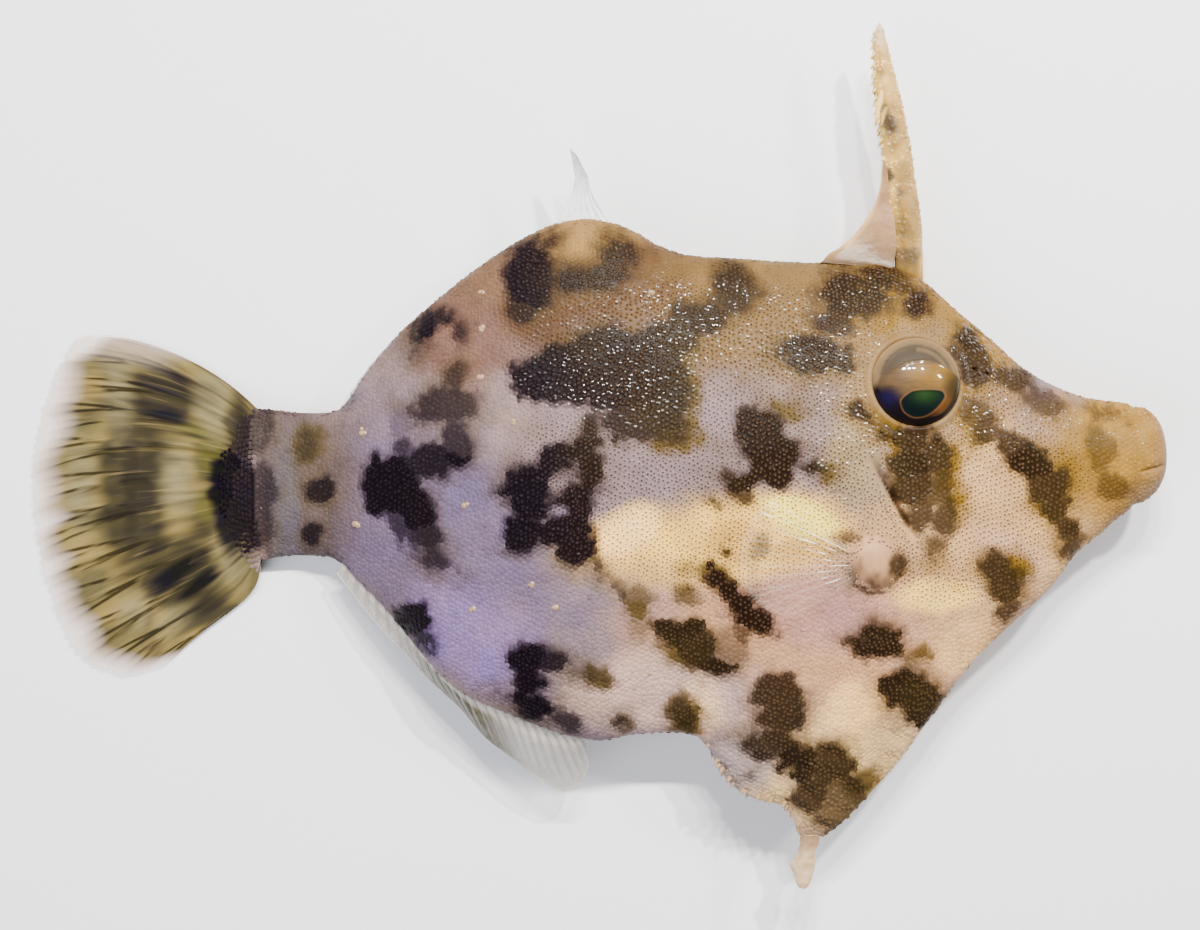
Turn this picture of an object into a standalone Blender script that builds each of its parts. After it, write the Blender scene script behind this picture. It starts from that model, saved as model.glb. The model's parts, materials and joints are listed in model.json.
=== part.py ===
"""A life-size aiptasia-eating filefish, limp on its left side: head towards +X, back towards +Y, +Z up.

Sizes below are in millimetres, and MM turns them into Blender's metres. The body is one loft of
upright rings along X, parted into nodes by thin cuts; fins are ribbed sheets set on its outline.
"""
import math

import bmesh
import bpy
import numpy as np
from mathutils import Matrix, Vector

MM = 0.001
GAP = 0.3
ORIGIN = (0.68, -0.65)  # moves the outline's own zero, so that the box is centred on the origin

# The outline seen from the fish's right side, as (x, y) from the tail stalk's end to the snout.
TAIL_END_X = -25.0
SNOUT_X = 41.25
SNOUT_Y = 0.6
SNOUT_CAP = 3.25  # length of the rounded snout end
SNOUT_ROUND = 2.6  # exponent of its roundness
BACK = [
    (-25.0, 4.2), (-22.8, 3.95), (-20.4, 3.9), (-19.3, 4.15), (-18.5, 5.0), (-16.8, 7.4), (-14.6, 9.8),
    (-10.9, 12.9), (-7.3, 15.5), (-5.1, 16.8), (-2.9, 17.7), (-0.9, 17.95), (0.8, 17.7), (2.6, 17.0),
    (4.4, 15.95), (6.6, 15.3), (10.2, 15.05), (14.6, 14.8), (19.6, 14.75), (22.0, 14.3), (23.7, 13.3),
    (25.5, 11.7), (28.1, 9.5), (31.3, 6.75), (33.5, 5.6), (35.6, 4.9), (38.0, 4.6), (41.3, 4.4),
]
BELLY = [
    (-25.0, -7.1), (-22.6, -6.75), (-20.4, -6.8), (-19.1, -7.3), (-18.1, -8.4), (-16.6, -9.8), (-14.7, -11.9),
    (-12.7, -14.3), (-11.5, -15.6), (-9.7, -16.9), (-7.3, -17.9), (-4.9, -18.9), (-2.2, -19.8), (0.0, -20.1),
    (2.9, -19.6), (4.8, -19.5), (6.8, -19.7), (7.9, -20.7), (8.9, -22.5), (9.9, -23.6), (11.4, -24.4),
    (13.4, -24.9), (14.0, -25.7), (14.5, -27.0), (15.3, -27.25), (16.3, -27.0), (17.5, -26.2),
    (19.2, -24.5), (21.5, -21.9), (23.9, -18.7), (27.3, -14.2), (29.9, -11.7), (32.8, -9.0), (34.6, -6.6),
    (36.6, -4.9), (37.7, -3.95), (39.1, -3.1), (41.3, -2.6),
]
# Half of the body's width at its widest, where that lies, and how far its middle is above the floor.
HALF_WIDTH = [
    (-25.0, 1.15), (-22.5, 1.35), (-20.0, 1.7), (-17.0, 2.35), (-13.0, 3.2), (-9.0, 4.1), (-4.0, 4.95),
    (2.0, 5.35), (9.0, 5.5), (16.0, 5.45), (20.0, 5.15), (24.0, 4.7), (27.0, 4.1), (31.0, 3.3), (35.0, 2.65),
    (38.0, 2.25), (41.3, 2.0),
]
WIDEST_Y = [
    (-25.0, -1.4), (-19.0, -1.2), (-8.0, -0.6), (6.0, 0.4),
    (16.0, 1.4), (24.0, 2.4), (31.0, 1.2), (41.3, 0.6),
]
EDGE_ROUND = 5.0  # exponent of the rounding at the back's and belly's edge
TAPER_POWER = 1.5
BACK_TAPER = 0.52
BELLY_TAPER = [
    (-25.0, 0.4), (-12.0, 0.5), (2.0, 0.62), (9.0, 0.78),
    (20.0, 0.8), (28.0, 0.66), (35.0, 0.45), (41.3, 0.3),
]
FLANK_LEVEL = 4.9  # height of the middle plane: less than the half width, so the flank lies flat
STALK_LEVEL = 1.2
DROOP_FROM_X = -7.0
LIP_CREASE_X = 38.9
LIP_CREASE_DEPTH = 0.05

# Where the body is cut into nodes, as lines seen from above.
GILL_LINE = [
    (15.5, 17.5), (16.2, 14.0), (18.2, 7.0), (19.1, 2.0), (19.7, -0.8), (22.0, -4.6), (23.3, -7.6),
    (23.6, -12.0), (23.15, -18.15),
]
FLAP_LINE = [(6.4, -21.4), (7.4, -19.5), (11.0, -17.9), (16.0, -17.3), (20.5, -17.5), (26.5, -18.9)]
STALK_LINE = [(-19.3, 7.0), (-19.3, -11.0)]
HEAD_FROM_X = 22.0  # a cut piece whose middle lies before this is the head
FLAP_BELOW_Y = -19.5  # a cut piece whose middle lies under this is the belly flap

# Small openings of the head, seen from above: each nostril as (x, y, radius), and the slits' two ends.
NOSTRILS = [(26.9, 6.9, 0.3), (27.9, 6.5, 0.26)]
NOSTRIL_DEPTH = 0.45
GILL_FROM, GILL_TO = (19.3, 0.6), (22.4, -5.1)
GILL_BOW, GILL_BACK = 0.34, 0.3  # how far the slit's two lips bow away from its middle line
GILL_DEPTH = 0.9
MOUTH_CORNER, MOUTH_TIP = (39.3, -0.5), (42.2, 0.35)
MOUTH_GAP = 0.28

# The rough hind margin of the belly flap.
FRINGE_FROM, FRINGE_TO = 7.9, 13.9
FRINGE_COUNT = 10
FRINGE_RADIUS = 0.36

EYE_AT = (22.5, 5.9)
EYE_RADIUS = 3.1
EYE_PLUG = 1.5
EYE_BULGE = 1.15
LOW_EYE_BULGE = 0.3
EYE_ROUND = 0.72
RIM_OUT = 0.42
RIM_THICK = 0.42
RIM_SINK, LOW_RIM_SINK = 0.16, 0.36  # how deep the rim lies in the skin, on the upper and the lower flank

# Thin parts: half the thickness of a fin's skin, and how far its rays stand out of it.
FIN_HALF = 0.25
RAY_RISE = 0.13

# The pectoral fins fan out backwards from a fleshy root: each ray's reach from the root's centre.
PECTORAL_ROOT = (19.6, -7.1)
PECTORAL_LOBE = 1.9
PECTORAL_REACH = [(0.0, 8.9), (0.15, 9.6), (0.45, 9.9), (0.75, 9.1), (0.9, 8.0), (1.0, 6.9)]
PECTORAL_FROM, PECTORAL_TO = math.radians(147), math.radians(212)
PECTORAL_RAYS = 11

# The long first dorsal spine and the web of skin behind it.
SPINE_PATH = [
    (22.5, 14.8), (22.35, 17.4), (21.9, 20.6), (21.6, 23.0), (21.2, 25.4), (20.8, 27.6), (20.5, 29.8),
    (20.35, 31.2), (20.4, 32.3),
]
SPINE_WIDTH = [
    (0.0, 2.15), (0.2, 2.3), (0.5, 2.25), (0.62, 2.15), (0.73, 1.9), (0.85, 1.4), (0.94, 0.95), (1.0, 0.5),
]
SPINE_FLAT = 0.62  # its thickness as a share of its width
SPINE_RINGS = [0.0, 0.06, 0.14, 0.24, 0.34, 0.44, 0.54, 0.64, 0.73, 0.81, 0.88, 0.93, 0.97]
# The hooks on its hind and front edge: the first one's and the last one's share of its length.
HIND_HOOKS, HIND_HOOKS_FROM, HIND_HOOKS_TO = 8, 0.5, 0.92
FRONT_HOOKS, FRONT_HOOKS_FROM, FRONT_HOOKS_TO = 7, 0.25, 0.85
WEB_EDGE = [(16.0, 15.15), (17.3, 15.7), (18.7, 16.8), (19.5, 18.0), (19.95, 19.6), (20.12, 21.4)]
WEB_TOP = 0.39  # how far up the spine the web reaches, as a share of its length
WEB_ROOT_SHARE = 0.02
WEB_FOOT_X = 20.9
WEB_HALF, WEB_THINNING = 0.42, 0.17  # half its thickness at the spine, and how much it loses outwards

# The rough tab at the belly flap's lowest corner: its left and right edge, and its thickness, by y.
TAB_ROOT_Y, TAB_TIP_Y = -27.6, -31.0
TAB_LEFT = [
    (-31.0, 14.8), (-30.7, 14.35), (-29.9, 14.1), (-29.1, 13.78),
    (-28.7, 14.1), (-28.2, 14.35), (-27.6, 14.5),
]
TAB_RIGHT = [(-31.0, 15.0), (-30.6, 15.3), (-29.9, 15.55), (-29.1, 15.75), (-28.2, 15.8), (-27.6, 16.05)]
TAB_THICK = [(-31.0, 0.4), (-30.4, 0.6), (-29.0, 0.8), (-27.6, 0.95)]

# The tail fin's rays fan out from a point inside the stalk.
TAIL_RAYS = 12
TAIL_CENTRE = (-20.1, -1.86)
TAIL_REACH = [(0.0, 19.9), (0.06, 22.3), (0.2, 22.6), (0.5, 22.5), (0.8, 22.7), (0.93, 21.2), (1.0, 18.2)]
TAIL_TIP_FROM, TAIL_TIP_TO = 144.4, 226.0
TAIL_ROOT_TOP, TAIL_ROOT_LOW = 4.0, -7.0
TAIL_BOW = math.radians(7.5)  # how far the lowest ray bows out near its root
TAIL_ROWS = [0.0, 0.05, 0.12, 0.22, 0.34, 0.46, 0.58, 0.7, 0.82, 0.92, 1.0]
TAIL_ROOT_HALF = 1.0  # half its thickness where it leaves the stalk
TAIL_THIN_BY = 0.22  # the share of its length over which it thins to the fin's own thickness
TAIL_SINK_BY = 0.3  # the share of its length over which it comes down to the floor

# The soft dorsal fin: its raised front, and the rest, folded down on the side the fish lies on.
DORSAL_ROOT_FROM, DORSAL_ROOT_TO = -3.4, 0.9
DORSAL_NECK = (-1.35, 21.0)
DORSAL_TIP = (-1.95, 22.9)
DORSAL_NECK_SHARE = 0.6
DORSAL_RAYS = 7
FOLD_FROM, FOLD_TO = -4.2, -18.2
FOLD_RAYS = 20
FOLD_TOP = 0.55  # how far below the back's edge the folded part begins
FOLD_DEPTH, FOLD_DEPTH_LOSS = 4.2, 2.2  # its depth at the front, and how much it loses to the rear
FOLD_SLANT, FOLD_SLANT_LOSS = 1.5, 0.7

# The anal fin's outer edge, from the tail stalk forwards.
ANAL_MARGIN = [
    (-19.5, -7.9), (-17.6, -10.4), (-15.8, -12.5), (-14.1, -14.2), (-12.5, -15.9), (-10.3, -17.9),
    (-8.3, -20.2), (-6.2, -21.8), (-4.2, -23.4), (-2.6, -24.1), (-1.5, -23.7), (-0.95, -22.6), (-0.7, -21.4),
]
ANAL_FROM, ANAL_TO = -18.9, -0.9
ANAL_RAYS = 26
ANAL_DROOP = 1.7

SMALL = 1e-6


def curve_through(points):
    """A smooth line y(x) through the points, with no overshoot between them."""
    xs, ys = (np.array(values, float) for values in zip(*points))
    steps = np.diff(xs)
    slopes = np.diff(ys) / steps
    tangents = np.zeros(len(xs))
    for i in range(1, len(xs) - 1):
        before, after = slopes[i - 1], slopes[i]
        if before * after > 0:
            first = 2 * steps[i] + steps[i - 1]
            second = steps[i] + 2 * steps[i - 1]
            tangents[i] = (first + second) / (first / before + second / after)
    tangents[0], tangents[-1] = slopes[0], slopes[-1]

    def value(x):
        x = np.clip(x, xs[0], xs[-1])
        i = np.clip(np.searchsorted(xs, x) - 1, 0, len(steps) - 1)
        u = (x - xs[i]) / steps[i]
        rise = ys[i] * (1 + 2 * u) * (1 - u) ** 2 + ys[i + 1] * u * u * (3 - 2 * u)
        lean = steps[i] * (tangents[i] * u * (1 - u) ** 2 + tangents[i + 1] * u * u * (u - 1))
        return rise + lean

    return value


def path_through(points):
    """A smooth path through points of any dimension, as a function of 0 to 1 along its length."""
    points = np.array(points, float)
    runs = np.concatenate([[0.0], np.cumsum(np.linalg.norm(np.diff(points, axis=0), axis=1))])
    parts = [curve_through(list(zip(runs, points[:, k]))) for k in range(points.shape[1])]
    return lambda share: np.array([part(share * runs[-1]) for part in parts])


def smooth_step(u):
    u = np.clip(u, 0.0, 1.0)
    return u * u * (3 - 2 * u)


raw_back = curve_through(BACK)
raw_belly = curve_through(BELLY)
raw_width = curve_through(HALF_WIDTH)
widest_y = curve_through(WIDEST_Y)
belly_taper = curve_through(BELLY_TAPER)
pectoral_reach = curve_through(PECTORAL_REACH)


def snout_share(x):
    """1 along the body, falling to 0 round the snout's end, with the crease behind the lips."""
    u = np.clip((x - SNOUT_X + SNOUT_CAP) / SNOUT_CAP, 0.0, 1.0)
    crease = LIP_CREASE_DEPTH * math.exp(-(((x - LIP_CREASE_X) / 0.45) ** 2))
    return max(0.0, 1 - u**SNOUT_ROUND) ** (1 / SNOUT_ROUND) * (1 - crease)


def back_y(x):
    return SNOUT_Y + (raw_back(x) - SNOUT_Y) * snout_share(x)


def belly_y(x):
    return SNOUT_Y + (raw_belly(x) - SNOUT_Y) * snout_share(x)


def level(x):
    """Height of the middle plane: the limp tail stalk sinks towards the floor."""
    sink = smooth_step((DROOP_FROM_X - x) / (DROOP_FROM_X - TAIL_END_X))
    return FLANK_LEVEL + (STALK_LEVEL - FLANK_LEVEL) * sink


def half_thickness(x, v):
    """Half width at station x, for v from -1 at the belly's edge to 1 at the back's."""
    taper = BACK_TAPER if v > 0 else belly_taper(x)
    edge = max(0.0, 1 - abs(v) ** EDGE_ROUND) ** 0.5
    return raw_width(x) * snout_share(x) * edge * (1 - taper * abs(v) ** TAPER_POWER)


def height_to_v(x, y):
    middle = widest_y(x)
    span = back_y(x) - middle if y > middle else middle - belly_y(x)
    return float(np.clip((y - middle) / max(span, SMALL), -1, 1))


def flank(x, y, side):
    """The flank's point at (x, y), on the upper side for 1 and the lower for -1, never under the floor."""
    z = level(x) + side * half_thickness(x, height_to_v(x, y))
    return Vector((x, y, max(0.0, z)))


def flank_normal(x, y, side, reach=0.25):
    along = flank(x + reach, y, side) - flank(x - reach, y, side)
    across = flank(x, y + reach, side) - flank(x, y - reach, side)
    return (along.cross(across) * side).normalized()


def material(name, colour, roughness):
    made = bpy.data.materials.new(name)
    made.use_nodes = True
    shader = made.node_tree.nodes["Principled BSDF"]
    shader.inputs["Base Color"].default_value = (*colour, 1.0)
    shader.inputs["Roughness"].default_value = roughness
    return made


def mesh_object(name, points, faces):
    """An object from points in millimetres, with its faces pointing out."""
    mesh = bpy.data.meshes.new(name)
    mesh.from_pydata([Vector(p) * MM for p in points], [], faces)
    work = bmesh.new()
    work.from_mesh(mesh)
    bmesh.ops.recalc_face_normals(work, faces=work.faces)
    work.to_mesh(mesh)
    work.free()
    made = bpy.data.objects.new(name, mesh)
    bpy.context.scene.collection.objects.link(made)
    return made


def ring_loft(name, rings):
    """A closed tube through rings of equally many points; a one-point ring closes an end to a tip."""
    points, starts = [], []
    for ring in rings:
        starts.append(len(points))
        points += ring
    faces = []
    for a, b, ring, following in zip(starts, starts[1:], rings, rings[1:]):
        count = max(len(ring), len(following))
        for i in range(count):
            j = (i + 1) % count
            corners = [a + i, a + j] if len(ring) > 1 else [a]
            corners += [b + j, b + i] if len(following) > 1 else [b]
            faces.append(corners)
    for start, ring in ((starts[0], rings[0]), (starts[-1], rings[-1])):
        if len(ring) > 1:
            faces.append([start + i for i in range(len(ring))])
    return mesh_object(name, points, faces)


def ribbed_sheet(name, centres, offsets):
    """A thin closed sheet: rows of centre points, each thickened by its offset to both faces alike."""
    rows, columns = len(centres), len(centres[0])
    points = [c + o for line, lift in zip(centres, offsets) for c, o in zip(line, lift)]
    points += [c - o for line, lift in zip(centres, offsets) for c, o in zip(line, lift)]
    under = rows * columns
    faces = []
    for r in range(rows - 1):
        for c in range(columns - 1):
            corner = r * columns + c
            square = (corner, corner + 1, corner + columns + 1, corner + columns)
            for triangle in ((0, 1, 2), (0, 2, 3)):
                faces.append([square[k] for k in triangle])
                faces.append([square[k] + under for k in reversed(triangle)])
    border = [c for c in range(columns)]
    border += [r * columns + columns - 1 for r in range(1, rows)]
    border += [(rows - 1) * columns + c for c in range(columns - 2, -1, -1)]
    border += [r * columns for r in range(rows - 2, 0, -1)]
    for a, b in zip(border, border[1:] + border[:1]):
        faces.append([a, b, b + under])
        faces.append([a, b + under, a + under])
    return mesh_object(name, points, faces)


def prism(name, outline, low, high):
    """An upright prism over an outline in the XY plane."""
    rings = [[Vector((x, y, z)) for x, y in outline] for z in (low, high)]
    return ring_loft(name, rings)


def blade(name, line, width=GAP, low=-2.0, high=13.0):
    """A thin upright wall along a line: what parts the body into nodes."""
    line = [Vector(p) for p in line]
    left, right = [], []
    for i, here in enumerate(line):
        run = (line[min(i + 1, len(line) - 1)] - line[max(i - 1, 0)]).normalized()
        aside = Vector((-run.y, run.x)) * width / 2
        left.append(here + aside)
        right.append(here - aside)
    return prism(name, left + right[::-1], low, high)


def turned(name, profile, foot, axis, sides):
    """A body turned about an axis from foot, from a profile of (radius, height)."""
    turn = Vector((0, 0, 1)).rotation_difference(axis).to_matrix()
    rings = []
    for radius, height in profile:
        if radius < SMALL:
            rings.append([foot + turn @ Vector((0, 0, height))])
            continue
        ring = []
        for i in range(sides):
            a = 2 * math.pi * i / sides
            ring.append(foot + turn @ Vector((radius * math.cos(a), radius * math.sin(a), height)))
        rings.append(ring)
    return ring_loft(name, rings)


def torus(name, centre, axis, radius, thick, sides=30, around=6):
    turn = Vector((0, 0, 1)).rotation_difference(axis).to_matrix()
    points, faces = [], []
    for i in range(sides):
        a = 2 * math.pi * i / sides
        for j in range(around):
            b = 2 * math.pi * j / around
            out = radius + thick * math.cos(b)
            points.append(centre + turn @ Vector((out * math.cos(a), out * math.sin(a), thick * math.sin(b))))
            following = (i + 1) % sides
            k = (j + 1) % around
            faces.append([i * around + j, following * around + j, following * around + k, i * around + k])
    return mesh_object(name, points, faces)


def combine(target, pieces, operation):
    """One Boolean of the target with all the pieces, applied, after which the pieces are removed."""
    group = bpy.data.collections.new("operands")
    for piece in pieces:
        group.objects.link(piece)
    step = target.modifiers.new("combine", "BOOLEAN")
    step.operation = operation
    step.operand_type = "COLLECTION"
    step.collection = group
    bpy.context.view_layer.update()
    graph = bpy.context.evaluated_depsgraph_get()
    result = bpy.data.meshes.new_from_object(target.evaluated_get(graph))
    target.modifiers.clear()
    target.data = result
    for piece in pieces:
        bpy.data.objects.remove(piece)
    bpy.data.collections.remove(group)
    return target


def loose_parts(target):
    """The vertex sets of a mesh's closed surfaces, largest first."""
    neighbours = [[] for _ in target.data.vertices]
    for edge in target.data.edges:
        a, b = edge.vertices
        neighbours[a].append(b)
        neighbours[b].append(a)
    seen, parts = set(), []
    for start in range(len(neighbours)):
        if start in seen:
            continue
        part, queue = {start}, [start]
        while queue:
            for other in neighbours[queue.pop()]:
                if other not in part:
                    part.add(other)
                    queue.append(other)
        seen |= part
        parts.append(part)
    return sorted(parts, key=len, reverse=True)


def part_object(name, source, keep):
    """A new object of the source's faces whose vertices are in keep."""
    order = {old: new for new, old in enumerate(sorted(keep))}
    points = [source.data.vertices[i].co / MM for i in sorted(keep)]
    faces = [[order[i] for i in face.vertices] for face in source.data.polygons if face.vertices[0] in keep]
    return mesh_object(name, points, faces)


def keep_largest(target):
    parts = loose_parts(target)
    if len(parts) == 1:
        return target
    name = target.name
    kept = part_object(name + "_kept", target, parts[0])
    bpy.data.objects.remove(target)
    kept.name = name
    return kept


def finish(target, look):
    target.data.materials.clear()
    target.data.materials.append(look)
    target.data.shade_smooth()
    target.data.set_sharp_from_angle(angle=math.radians(50))
    return target


def body_stations():
    even = np.arange(TAIL_END_X, 7.0, 1.15)
    flap = np.arange(7.0, 17.5, 0.6)
    head = np.arange(17.5, SNOUT_X - SNOUT_CAP, 1.1)
    cap = SNOUT_X - SNOUT_CAP * (1 - np.sin(np.linspace(0.0, math.pi / 2, 9)))
    return [*even, *flap, *head, *cap[:-1]]


def whole_body():
    """The loft of the whole body, from the tail stalk's flat end to the snout."""
    count = 9
    shares = [1 - (1 - i / count) ** 1.6 for i in range(count + 1)]
    descent = [v for v in reversed(shares)] + [-v for v in shares[1:]]
    rings = []
    for x in body_stations():
        middle = widest_y(x)
        ring = []
        for side, order in ((1, descent), (-1, descent[-2:0:-1])):
            for v in order:
                y = middle + v * (back_y(x) - middle if v > 0 else middle - belly_y(x))
                on_edge = abs(v) >= 1
                ring.append(Vector((x, y, level(x))) if on_edge else flank(x, y, side))
        rings.append(ring)
    rings.append([Vector((SNOUT_X, SNOUT_Y, FLANK_LEVEL))])
    return ring_loft("body", rings)


def eye_seat(side):
    """Centre on the head's surface, and the direction in which the eye looks."""
    centre = flank(*EYE_AT, side)
    return centre, (flank_normal(*EYE_AT, side, 1.2) + Vector((0, 0, side))).normalized()


def eye_ball(name, side, bulge):
    centre, axis = eye_seat(side)
    shares = [0.0, 0.3, 0.55, 0.75, 0.9, 1.0]
    dome = [(EYE_RADIUS * s, bulge * (1 - s * s) ** EYE_ROUND) for s in shares]
    plug = [(EYE_RADIUS * 0.94, -EYE_PLUG * 0.6), (EYE_RADIUS * 0.8, -EYE_PLUG)]
    return turned(name, dome + plug, centre, axis, 30)


def eye_socket(side):
    centre, axis = eye_seat(side)
    wall = EYE_RADIUS + GAP
    return turned("socket", [(wall, 3.0), (wall, -EYE_PLUG - GAP)], centre, axis, 30)


def eye_rim(side):
    """The low fold of skin round the eye."""
    centre, axis = eye_seat(side)
    sink = RIM_SINK if side > 0 else LOW_RIM_SINK
    return torus("rim", centre - axis * sink, axis, EYE_RADIUS + RIM_OUT, RIM_THICK)


def nostrils(side):
    """Two small pits a little before the eye."""
    pits = []
    for x, y, radius in NOSTRILS:
        at = flank(x, y, side)
        wall = [(radius, 0.6), (radius, -NOSTRIL_DEPTH)]
        pits.append(turned("nostril", wall, at, flank_normal(x, y, side), 8))
    return pits


def gill_slit(side):
    """The short slanting gill opening before the pectoral fin, as a lens-shaped cutter."""
    start, end = Vector(GILL_FROM), Vector(GILL_TO)
    run = (end - start).normalized()
    aside = Vector((-run.y, run.x))
    shares = [i / 8 for i in range(9)]
    bow = [start.lerp(end, s) + aside * GILL_BOW * math.sin(math.pi * s) for s in shares]
    back = [start.lerp(end, s) - aside * GILL_BACK * math.sin(math.pi * s) for s in shares[-2:0:-1]]
    middle = start.lerp(end, 0.5)
    surface = flank(middle.x, middle.y, side).z
    low, high = sorted((surface - side * GILL_DEPTH, surface + side * 2.0))
    return prism("gill", [tuple(p) for p in bow + back], low, high)


def mouth_slit():
    """The closed mouth's line, from its corners round the snout's end."""
    return blade("mouth", [MOUTH_CORNER, MOUTH_TIP], width=MOUTH_GAP)


def pectoral_point(share_out, share_across):
    """A point of the fan seen from above: its corner rays are shorter, so the edge is round."""
    angle = PECTORAL_FROM + (PECTORAL_TO - PECTORAL_FROM) * share_across
    foot = PECTORAL_LOBE + GAP
    out = foot + (pectoral_reach(share_across) - foot) * share_out
    return PECTORAL_ROOT[0] + out * math.cos(angle), PECTORAL_ROOT[1] + out * math.sin(angle)


def ray_columns(rays, inner=(0.0, 0.22, 0.5, 0.78)):
    """Positions across a fin from 0 to 1, several for each ray, with each one's place in its interval."""
    columns = [((r + part) / (rays - 1), part) for r in range(rays - 1) for part in inner]
    return columns + [(1.0, 0.0)]


def ray_height(part, out, fork=0.45):
    """Height of the ray's ridge from 0 to 1: one crest near the root, two beyond the fork."""
    nearest = min(part, 1 - part)
    if out < fork:
        return 1.0 if nearest < 0.1 else 0.0
    return 0.3 if nearest < 0.1 else (0.9 if nearest < 0.3 else 0.0)


def pectoral_fin(name, side):
    """A thin fan laid back along the flank; the lower one is pressed flat on the floor."""
    columns = ray_columns(PECTORAL_RAYS, (0.0, 0.3, 0.7))
    rows = [0.0, 0.16, 0.34, 0.52, 0.7, 0.86, 1.0]
    centres, offsets = [], []
    for out in rows:
        line, lift = [], []
        for across, part in columns:
            x, y = pectoral_point(out, across)
            half = FIN_HALF + RAY_RISE * (1.0 if part < 0.1 else 0.0) * (1 - 0.5 * out)
            if side > 0:
                axis = flank_normal(x, y, side)
                line.append(flank(x, y, side) + axis * (GAP + FIN_HALF + RAY_RISE + 0.12 * out))
                lift.append(axis * half)
            else:
                line.append(Vector((x, y, FIN_HALF + RAY_RISE)))
                lift.append(Vector((0, 0, half)))
        centres.append(line)
        offsets.append(lift)
    return ribbed_sheet(name, centres, offsets)


def pectoral_recess():
    """What the lower pectoral fin presses out of the flank above it."""
    shares = [i / 10 for i in range(11)]
    edge = [pectoral_point(1.0, s) for s in shares]
    root = [pectoral_point(0.0, s) for s in reversed(shares)]
    outline = edge + root
    middle = np.mean(outline, axis=0)
    grown = []
    for x, y in outline:
        away = Vector((x - middle[0], y - middle[1]))
        away = away * (1 + GAP * 1.3 / away.length)
        grown.append((middle[0] + away.x, middle[1] + away.y))
    return prism("recess", grown, -1.0, 2 * (FIN_HALF + RAY_RISE) + GAP)


def pectoral_lobe():
    """The fleshy root of the upper pectoral fin, as a low swelling of the flank."""
    axis = flank_normal(*PECTORAL_ROOT, 1)
    shape = [(0.0, -1.0), (0.8, -0.7), (1.0, 0.0), (0.84, 0.5), (0.45, 0.75), (0.0, 0.85)]
    profile = [(PECTORAL_LOBE * share, height) for share, height in shape]
    return turned("lobe", profile, flank(*PECTORAL_ROOT, 1), axis, 16)


def cone(root, way, length, radius, sides=5, sink=0.5):
    """A spinule: a tapered cone sunk into what it grows from."""
    profile = [(radius, 0.0), (radius * 0.75, sink + length * 0.4), (0.0, sink + length)]
    return turned("spinule", profile, root - way * sink, way, sides)


def flap_fringe():
    """The rough hind margin of the belly flap: short spinules that point back and down."""
    spinules = []
    for i in range(FRINGE_COUNT):
        x = FRINGE_FROM + (FRINGE_TO - FRINGE_FROM) * i / (FRINGE_COUNT - 1)
        lean = -0.75 + 0.35 * i / (FRINGE_COUNT - 1)
        way = Vector((lean, -1.0, 0.16 * math.sin(2.4 * i))).normalized()
        root = Vector((x, belly_y(x) + 0.25, level(x) + 0.25 * math.cos(2.4 * i)))
        spinules.append(cone(root, way, 0.75 + 0.2 * math.sin(1.7 * i), FRINGE_RADIUS))
    return spinules


def spine_frame(share):
    path = path_through(SPINE_PATH)
    here = path(share)
    run = path(min(1.0, share + 0.02)) - path(max(0.0, share - 0.02))
    along = Vector((run[0], run[1], 0)).normalized()
    return Vector((here[0], here[1], FLANK_LEVEL)), along, Vector((along.y, -along.x, 0))


def spine_hooks(width):
    """Small hooks: a double row on the spine's hind edge, and a single row on its front edge."""
    hooks = []
    for i in range(HIND_HOOKS):
        share = HIND_HOOKS_FROM + (HIND_HOOKS_TO - HIND_HOOKS_FROM) * i / (HIND_HOOKS - 1)
        centre, along, forward = spine_frame(share)
        half = width(share) / 2
        for z in (-0.3, 0.3):
            root = centre - forward * half * 0.8 + Vector((0, 0, z * half))
            way = (-forward - along * 0.9 + Vector((0, 0, z))).normalized()
            hooks.append(cone(root, way, 0.5, 0.28, sides=4, sink=0.2))
    for i in range(FRONT_HOOKS):
        share = FRONT_HOOKS_FROM + (FRONT_HOOKS_TO - FRONT_HOOKS_FROM) * i / (FRONT_HOOKS - 1)
        centre, along, forward = spine_frame(share)
        root = centre + forward * width(share) * 0.42
        hooks.append(cone(root, (forward + along * 0.8).normalized(), 0.32, 0.25, sides=4, sink=0.2))
    return hooks


def dorsal_spine():
    """The long first dorsal spine over the eye: a flattened, curved and tapered shaft with hooks."""
    width = curve_through(SPINE_WIDTH)
    sides = 12
    rings = []
    for share in SPINE_RINGS:
        centre, along, forward = spine_frame(share)
        half = width(share) / 2
        ring = []
        for i in range(sides):
            a = 2 * math.pi * i / sides
            rise = Vector((0, 0, half * SPINE_FLAT * math.sin(a)))
            ring.append(centre + forward * half * math.cos(a) + rise)
        rings.append(ring)
    for point in rings[0]:
        point.y = back_y(point.x) + GAP
    rings.append([spine_frame(1.0)[0]])
    return keep_largest(combine(ring_loft("dorsal_spine", rings), spine_hooks(width), "UNION"))


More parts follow.
